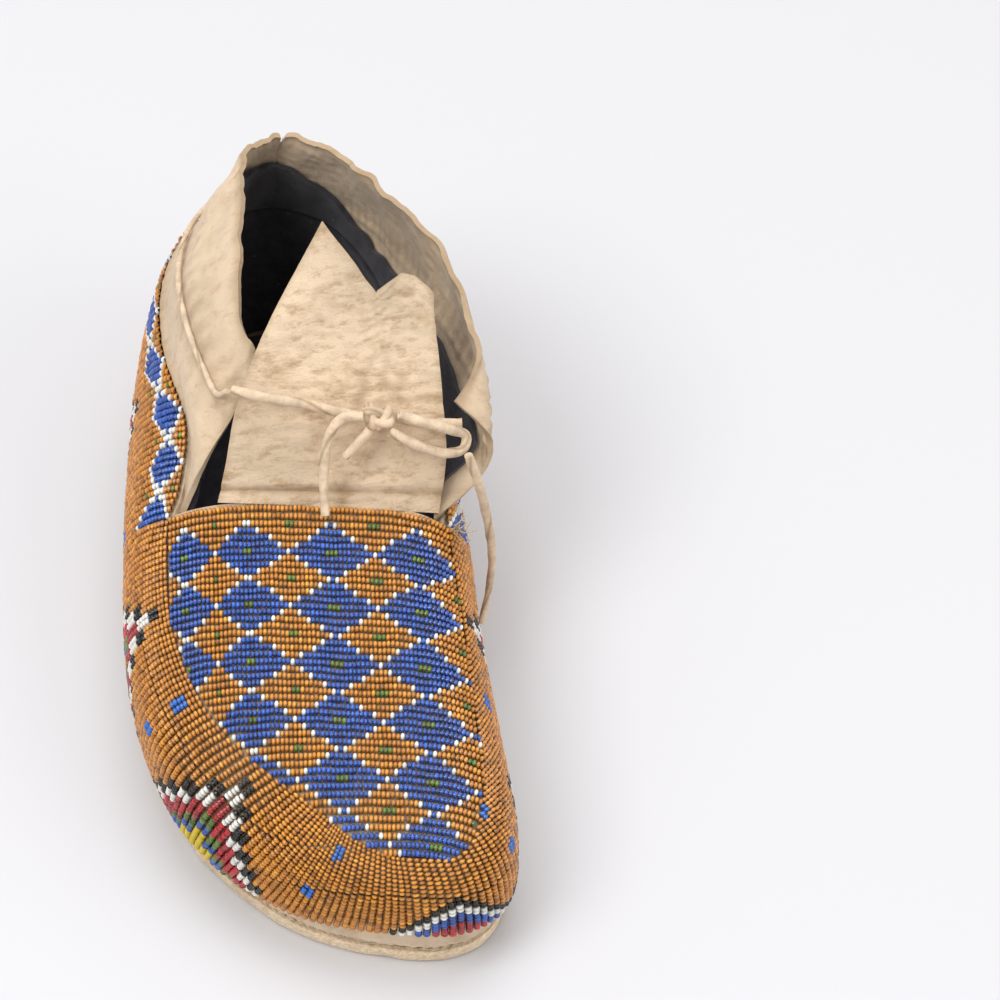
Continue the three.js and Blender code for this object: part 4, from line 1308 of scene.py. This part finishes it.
def both_faces(values):
    """Values of a sheet's grid for the points of both its faces."""
    return np.concatenate([values.ravel()] * 2)


class MOCCASIN_OT_collar(bpy.types.Operator):
    """Ankle flaps of soft hide, whose cuffs fold out over the tie"""
    bl_idname = "moccasin.collar"
    bl_label = "Ankle flaps"

    def execute(self, context):
        for side, word, body in (("l", "lateral", "outer_cuff"), ("m", "medial", "inner_cuff")):
            inner_side = side == "m"
            part, w = np.meshgrid(np.linspace(0, 1, 130), np.linspace(0, 1, 64), indexing="ij")
            # the two flaps part in a notch at the heel's rim
            t = FLAP_FRONT + (FLAP_BACK - FLAP_FRONT - 0.012 * step(w, 0.86, 1.0)) * part
            p, n = flap_point(side, t, w), flap_normal(side, t, w)
            a, b = t * FLAP_LONG, w * FLAP_HIGH
            fold = w - fold_w(t)
            soft = 0.45 * ripple(a, b, 41 + ord(side), 26) * step(w, 0.1, 0.5)
            pleat = np.sin(a / (4.6 if inner_side else 7.5) * 2 * np.pi + 1.3 * np.sin(w * 9))
            near_tie = np.exp(-((fold + 0.08) / 0.14) ** 2)
            front = 1 - step(t, 0.12, 0.4) if inner_side else 0.35
            pleats = (0.55 if inner_side else 0.35) * pleat * near_tie * front
            tuck = -0.45 * np.exp(-((fold + 0.14) / 0.04) ** 2)
            fine = 0.10 * ripple(a, b, 47, 6)
            rim = step(w, 0.82, 1.0)
            # the sewn edge stands out over the tops of the bead rows
            hem = 1.15 * np.exp(-(b / 1.8) ** 2) * step(t, 0.02, 0.06) * (1 - step(t, 0.95, 0.99))
            p = p + n * (soft + pleats + tuck + fine + hem)[..., None]
            p[..., 2] += rim * (0.8 * ripple(a, 0 * b, 43 + ord(side), 22))
            p = p + n * (rim * 0.5 * ripple(a, b, 45, 15))[..., None]
            outer, inner = p + n * (HIDE_T / 2), p - n * (HIDE_T / 2 - 0.25 * rim[..., None])
            verts, faces = shell(outer, inner)
            near = np.minimum.reduce([b, FLAP_HIGH - b, a])
            wear = 0.45 * np.exp(-(near / 2.2) ** 2) + 0.30 * near_tie * (0.5 + 0.5 * pleat)
            obj = make_piece(f"{word}_flap_and_cuff", verts, faces, [flap_hide()], None,
                             [f"{word}_ankle_flap", f"{word}_cuff"], {"wear": both_faces(wear)})
            crisp(obj, 55)
            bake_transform(obj)
        return {"FINISHED"}


TONGUE_T = 1.5


class MOCCASIN_OT_tongue(bpy.types.Operator):
    """Forked tongue of soft hide"""
    bl_idname = "moccasin.tongue"
    bl_label = "Tongue"

    def execute(self, context):
        u = np.unique(np.concatenate([np.linspace(0, 1, 61), [0.5, 0.87]]))
        v = np.linspace(0, 1, 96)
        uu, vv = np.meshgrid(u, v, indexing="ij")
        p, n = tongue_point(uu, vv), surface_normal(tongue_point, uu, vv)
        n = n * np.sign(n[len(u) // 2, 20, 1]) * -1
        a, b = uu * 60, vv * 76  # millimetres across and along
        fine = 0.16 * ripple(a * 0.25, b, 51, 2.6) + 0.20 * ripple(a * 0.5, b, 52, 7.0)
        soft = 0.5 * ripple(a, b, 53, 30)
        crease = -0.8 * np.exp(-((vv - 0.065) / 0.012) ** 2) + 0.4 * np.exp(-((vv - 0.10) / 0.02) ** 2)
        press = -0.4 * np.exp(-((b - 31) / 2.0) ** 2) * step(uu, 0.05, 0.3)
        curl = 1.6 * step(uu, 0.86, 1.0) * step(vv, 0.93, 1.0)
        p = p + n * (fine + soft + crease + press + curl)[..., None]
        verts, faces = shell(p + n * TONGUE_T / 2, p - n * TONGUE_T / 2)
        near = np.minimum.reduce([uu * 55, (1 - uu) * 55, (1 - vv) * 75])
        knot_stain = (0.5 * np.exp(-(((a - 40) / 11) ** 2 + ((b - 38) / 9) ** 2))
                      * (0.5 + 0.5 * ripple(a, b, 55, 7)))
        # darker along the dent of the crease near the tongue's foot
        crease_darkening = 0.35 * np.exp(-((vv - 0.065) / 0.015) ** 2)
        wear = np.clip(0.25 * np.exp(-(near / 1.2) ** 2) + knot_stain + crease_darkening, 0, 1)
        obj = make_piece("tongue", verts, faces, [tongue_hide()], None, ["tongue_base", "tongue_tip"],
                         {"wear": both_faces(wear)})
        crisp(obj, 55)
        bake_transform(obj)
        return {"FINISHED"}


# height of the felt inside the inner flap, from the vamp edge to the heel
FELT_TOP = [[0.05, 0.2, 0.35, 0.5, 0.65, 0.8, 0.93, 1], [0.45, 0.42, 0.35, 0.25, 0.2, 0.36, 0.58, 0.64]]


FELT_AIR, BAND_AIR = 0.45, 0.9  # air between the hide and the felt of the foot, and of the ankle


class MOCCASIN_OT_lining(bpy.types.Operator):
    """Black felt inside the foot and up inside the ankle"""
    bl_idname = "moccasin.lining"
    bl_label = "Felt lining"

    def execute(self, context):
        share = np.linspace(0, 1, 16)

        def wall(face):
            def band(g, side):
                top = smooth(g, SHOULDER[side])[:, None] + 2.2
                return wall_layer(g, side, 4.0 + (top - 4.0) * share[None], face)
            return band
        out, inn = -HIDE_T - FELT_AIR, -HIDE_T - FELT_AIR - FELT_T
        verts, faces = shell(round_grid(110, wall(out)), round_grid(110, wall(inn)), wrap=True)
        make_piece("felt_wall", verts, faces, [felt()], "shoe", ["felt_lining"])
        outer, inner = dome_layer(out, G_THROAT, 40, 50), dome_layer(inn, G_THROAT, 40, 50)
        n = min(len(outer), len(inner))
        verts, faces = shell(outer[:n], inner[:n])
        make_piece("felt_vamp", verts, faces, [felt()], "shoe", ["felt_lining"])
        rows = []
        for side in "lm":
            t, k = np.meshgrid(np.linspace(0.055, 0.992, 70), np.linspace(0, 1, 18), indexing="ij")
            top = 0.64 if side == "l" else smooth(t, FELT_TOP)
            top = top + 0.015 * ripple(t * FLAP_LONG, 0 * k, 61 + ord(side), 18)
            w = 0.03 + (top - 0.03) * k
            p, n = flap_point(side, t, w), flap_normal(side, t, w)
            p = p - n * (0.35 * (1 + ripple(t * FLAP_LONG, w * FLAP_HIGH, 63, 24)) * k)[..., None]
            rows.append((p - n * (HIDE_T / 2 + BAND_AIR), p - n * (HIDE_T / 2 + BAND_AIR + FELT_T)))
        outer = np.vstack([rows[0][0], rows[1][0][::-1]])
        inner = np.vstack([rows[0][1], rows[1][1][::-1]])
        verts, faces = shell(outer, inner)
        crisp(make_piece("felt_ankle", verts, faces, [felt()], "shoe", ["felt_ankle_band"]), 60)
        return {"FINISHED"}


def stitch_cloud(a, b, out, width, rise):
    """Short stitches from a to b that stand up from the surface: five rings of six points each, closed at
    the ends."""
    s = np.linspace(0, 1, 5)[None, :, None]
    path = a[:, None] + (b - a)[:, None] * s + out[:, None] * (rise * np.sin(s * np.pi))
    along = unit(b - a)
    side = unit(np.cross(along, out))
    turn = (np.arange(6) / 6 * 2 * np.pi)[None, None, :, None]
    ring = side[:, None, None] * np.cos(turn) + out[:, None, None] * np.sin(turn)
    return ring_by_ring(6, 5, len(a), path[:, :, None] + ring * width / 2)


SOLE_STITCH = 3.3  # from one stitch of the sole to the next


class MOCCASIN_OT_stitches(bpy.types.Operator):
    """Sinew stitches at the sole and up the heel, and loose sinew ends"""
    bl_idname = "moccasin.stitches"
    bl_label = "Sinew"

    def execute(self, context):
        rng = np.random.default_rng(71)
        sets = []
        for side, word in (("l", "outer"), ("m", "inner")):
            along = distances(upper_point(ARC_G, side, 0.05, 0))
            at = np.interp(np.arange(1.6, along[-1] - 1, SOLE_STITCH), along, ARC_G)
            v0, v1 = v_at(at, side, 0.25 + 0 * at), v_at(at, side, 2.6 + 0.3 * rng.normal(size=len(at)))
            a = upper_point(at, side, v0, -0.1)
            b, _, out = upper_frame(np.clip(at + 0.5, G_TOE, G_HEEL), side, v1, -0.25)
            sets.append((f"sole_stitches_{word}", a, b, out, 0.55, 0.05))
        w = np.linspace(0.04, 0.50, 10)
        a = flap_point("l", 0.972 + 0 * w, w) + flap_normal("l", 0.972 + 0 * w, w) * 1.1
        b = flap_point("m", 0.972 + 0 * w, w + 0.02) + flap_normal("m", 0.972 + 0 * w, w) * 1.1
        out = unit(flap_normal("l", 0.98 + 0 * w, w) + flap_normal("m", 0.98 + 0 * w, w))
        sets.append(("heel_stitches", a, b, out, 0.6, 0.3))
        for name, a, b, out, width, rise in sets:
            verts, faces = stitch_cloud(a, b, out, width, rise)
            make_piece(name, verts, faces, [sinew()], "shoe")
        # loose ends of sinew where the inner flap meets the panel
        start = upper_point(np.array([-4.5]), "m", v_at(np.array([-4.5]), "m", np.array([46.5])), 2.2)[0]
        parts = []
        for k in range(7):
            r = rng.normal(size=(4, 3)) * np.array([1.6, 1.2, 1.6])
            lean = np.array([2.2 + rng.uniform(-1, 2.5), -1.5, rng.uniform(-5, 5)])
            route = np.vstack([start + r[0] * 0.3, start + lean * 0.5 + r[1] * 0.5, start + lean + r[2] * 0.8,
                               start + lean * 1.3 + r[3]])
            parts.append(strip_mesh(centripetal(route, 14), 0.34, 80 + k, sides=6, turn=9))
        verts, faces, _, _ = joined(parts)
        make_piece("loose_sinew", verts, faces, [sinew()], "shoe")
        return {"FINISHED"}


class MOCCASIN_OT_stage(bpy.types.Operator):
    """Pale floor that sweeps up behind, and soft studio light"""
    bl_idname = "moccasin.stage"
    bl_label = "Stage"

    def execute(self, context):
        scene = context.scene
        x = np.linspace(-3, 3, 3)
        s = np.linspace(0, 1, 60)
        y = np.where(s < 0.6, -2.5 + s / 0.6 * 4.5, 2.0 + 1.2 * np.sin((s - 0.6) / 0.4 * np.pi / 2))
        z = np.where(s < 0.6, 0.0, 1.2 * (1 - np.cos((s - 0.6) / 0.4 * np.pi / 2)))
        xx, ss = np.meshgrid(x, np.arange(60), indexing="ij")
        verts = np.stack([xx, y[ss], z[ss] - 0.0003], -1).reshape(-1, 3)
        mesh = bpy.data.meshes.new("floor")
        faces = grid_faces(3, 60)
        fill_mesh(mesh, verts, faces.ravel(), np.arange(len(faces)) * 4)
        mesh.shade_smooth()

        def build(tree, shader, place_at):
            put(shader, {"Base Color": (*linear("#D7D6D8"), 1), "Roughness": 0.55, "Specular IOR Level": 0.3})
        mesh.materials.append(surface("painted_studio_sweep", build))
        floor = bpy.data.objects.new("floor", mesh)
        scene.collection.objects.link(floor)
        lamps = [("key", (-0.9, -0.5, 1.5), 0.9, 14.0), ("fill", (1.3, -0.9, 1.0), 1.2, 7.0),
                 ("top", (0.1, 0.5, 1.9), 1.3, 15.0)]
        for name, where, wide, watts in lamps:
            lamp = bpy.data.lights.new(name, "AREA")
            lamp.shape, lamp.size, lamp.energy = "SQUARE", wide, watts
            obj = bpy.data.objects.new(name, lamp)
            back = unit(np.array(where) - np.array([0, 0, 0.04]))
            right = unit(np.cross([0, 1, 0.01], back))
            up = np.cross(back, right)
            obj.matrix_world = Matrix([[right[i], up[i], back[i], where[i]] for i in range(3)]
                                      + [[0, 0, 0, 1]])
            scene.collection.objects.link(obj)
        world = bpy.data.worlds.new("studio")
        world.use_nodes = True
        world.node_tree.nodes["Background"].inputs[0].default_value = (*linear("#F2F3F5"), 1)
        world.node_tree.nodes["Background"].inputs[1].default_value = 0.72
        scene.world = world
        scene.view_settings.view_transform = "Standard"
        return {"FINISHED"}


class MOCCASIN_PT_panel(bpy.types.Panel):
    """Buttons for every piece"""
    bl_label = "Beaded moccasin"
    bl_idname = "MOCCASIN_PT_panel"
    bl_space_type = "VIEW_3D"
    bl_region_type = "UI"
    bl_category = "Moccasin"

    def draw(self, context):
        for name in MoccasinSizes.__annotations__:
            self.layout.prop(context.scene.moccasin_sizes, name)
        for name in MoccasinColours.__annotations__:
            self.layout.prop(context.scene.moccasin_colours, name)
        for operator in OPERATORS:
            self.layout.operator(operator.bl_idname)


OPERATORS = (MOCCASIN_OT_camera, MOCCASIN_OT_tie, MOCCASIN_OT_sole, MOCCASIN_OT_upper, MOCCASIN_OT_beads,
             MOCCASIN_OT_collar, MOCCASIN_OT_tongue, MOCCASIN_OT_lining, MOCCASIN_OT_stitches,
             MOCCASIN_OT_stage)
CLASSES = (MoccasinSizes, MoccasinColours, *OPERATORS, MOCCASIN_PT_panel)


def register():
    for cls in CLASSES:
        bpy.utils.register_class(cls)
    bpy.types.Scene.moccasin_sizes = PointerProperty(type=MoccasinSizes)
    bpy.types.Scene.moccasin_colours = PointerProperty(type=MoccasinColours)


def unregister():
    del bpy.types.Scene.moccasin_colours
    del bpy.types.Scene.moccasin_sizes
    for cls in reversed(CLASSES):
        bpy.utils.unregister_class(cls)


def main():
    register()
    for operator in OPERATORS:
        group, name = operator.bl_idname.split(".")
        getattr(getattr(bpy.ops, group), name)()


if __name__ == "__main__":
    main()
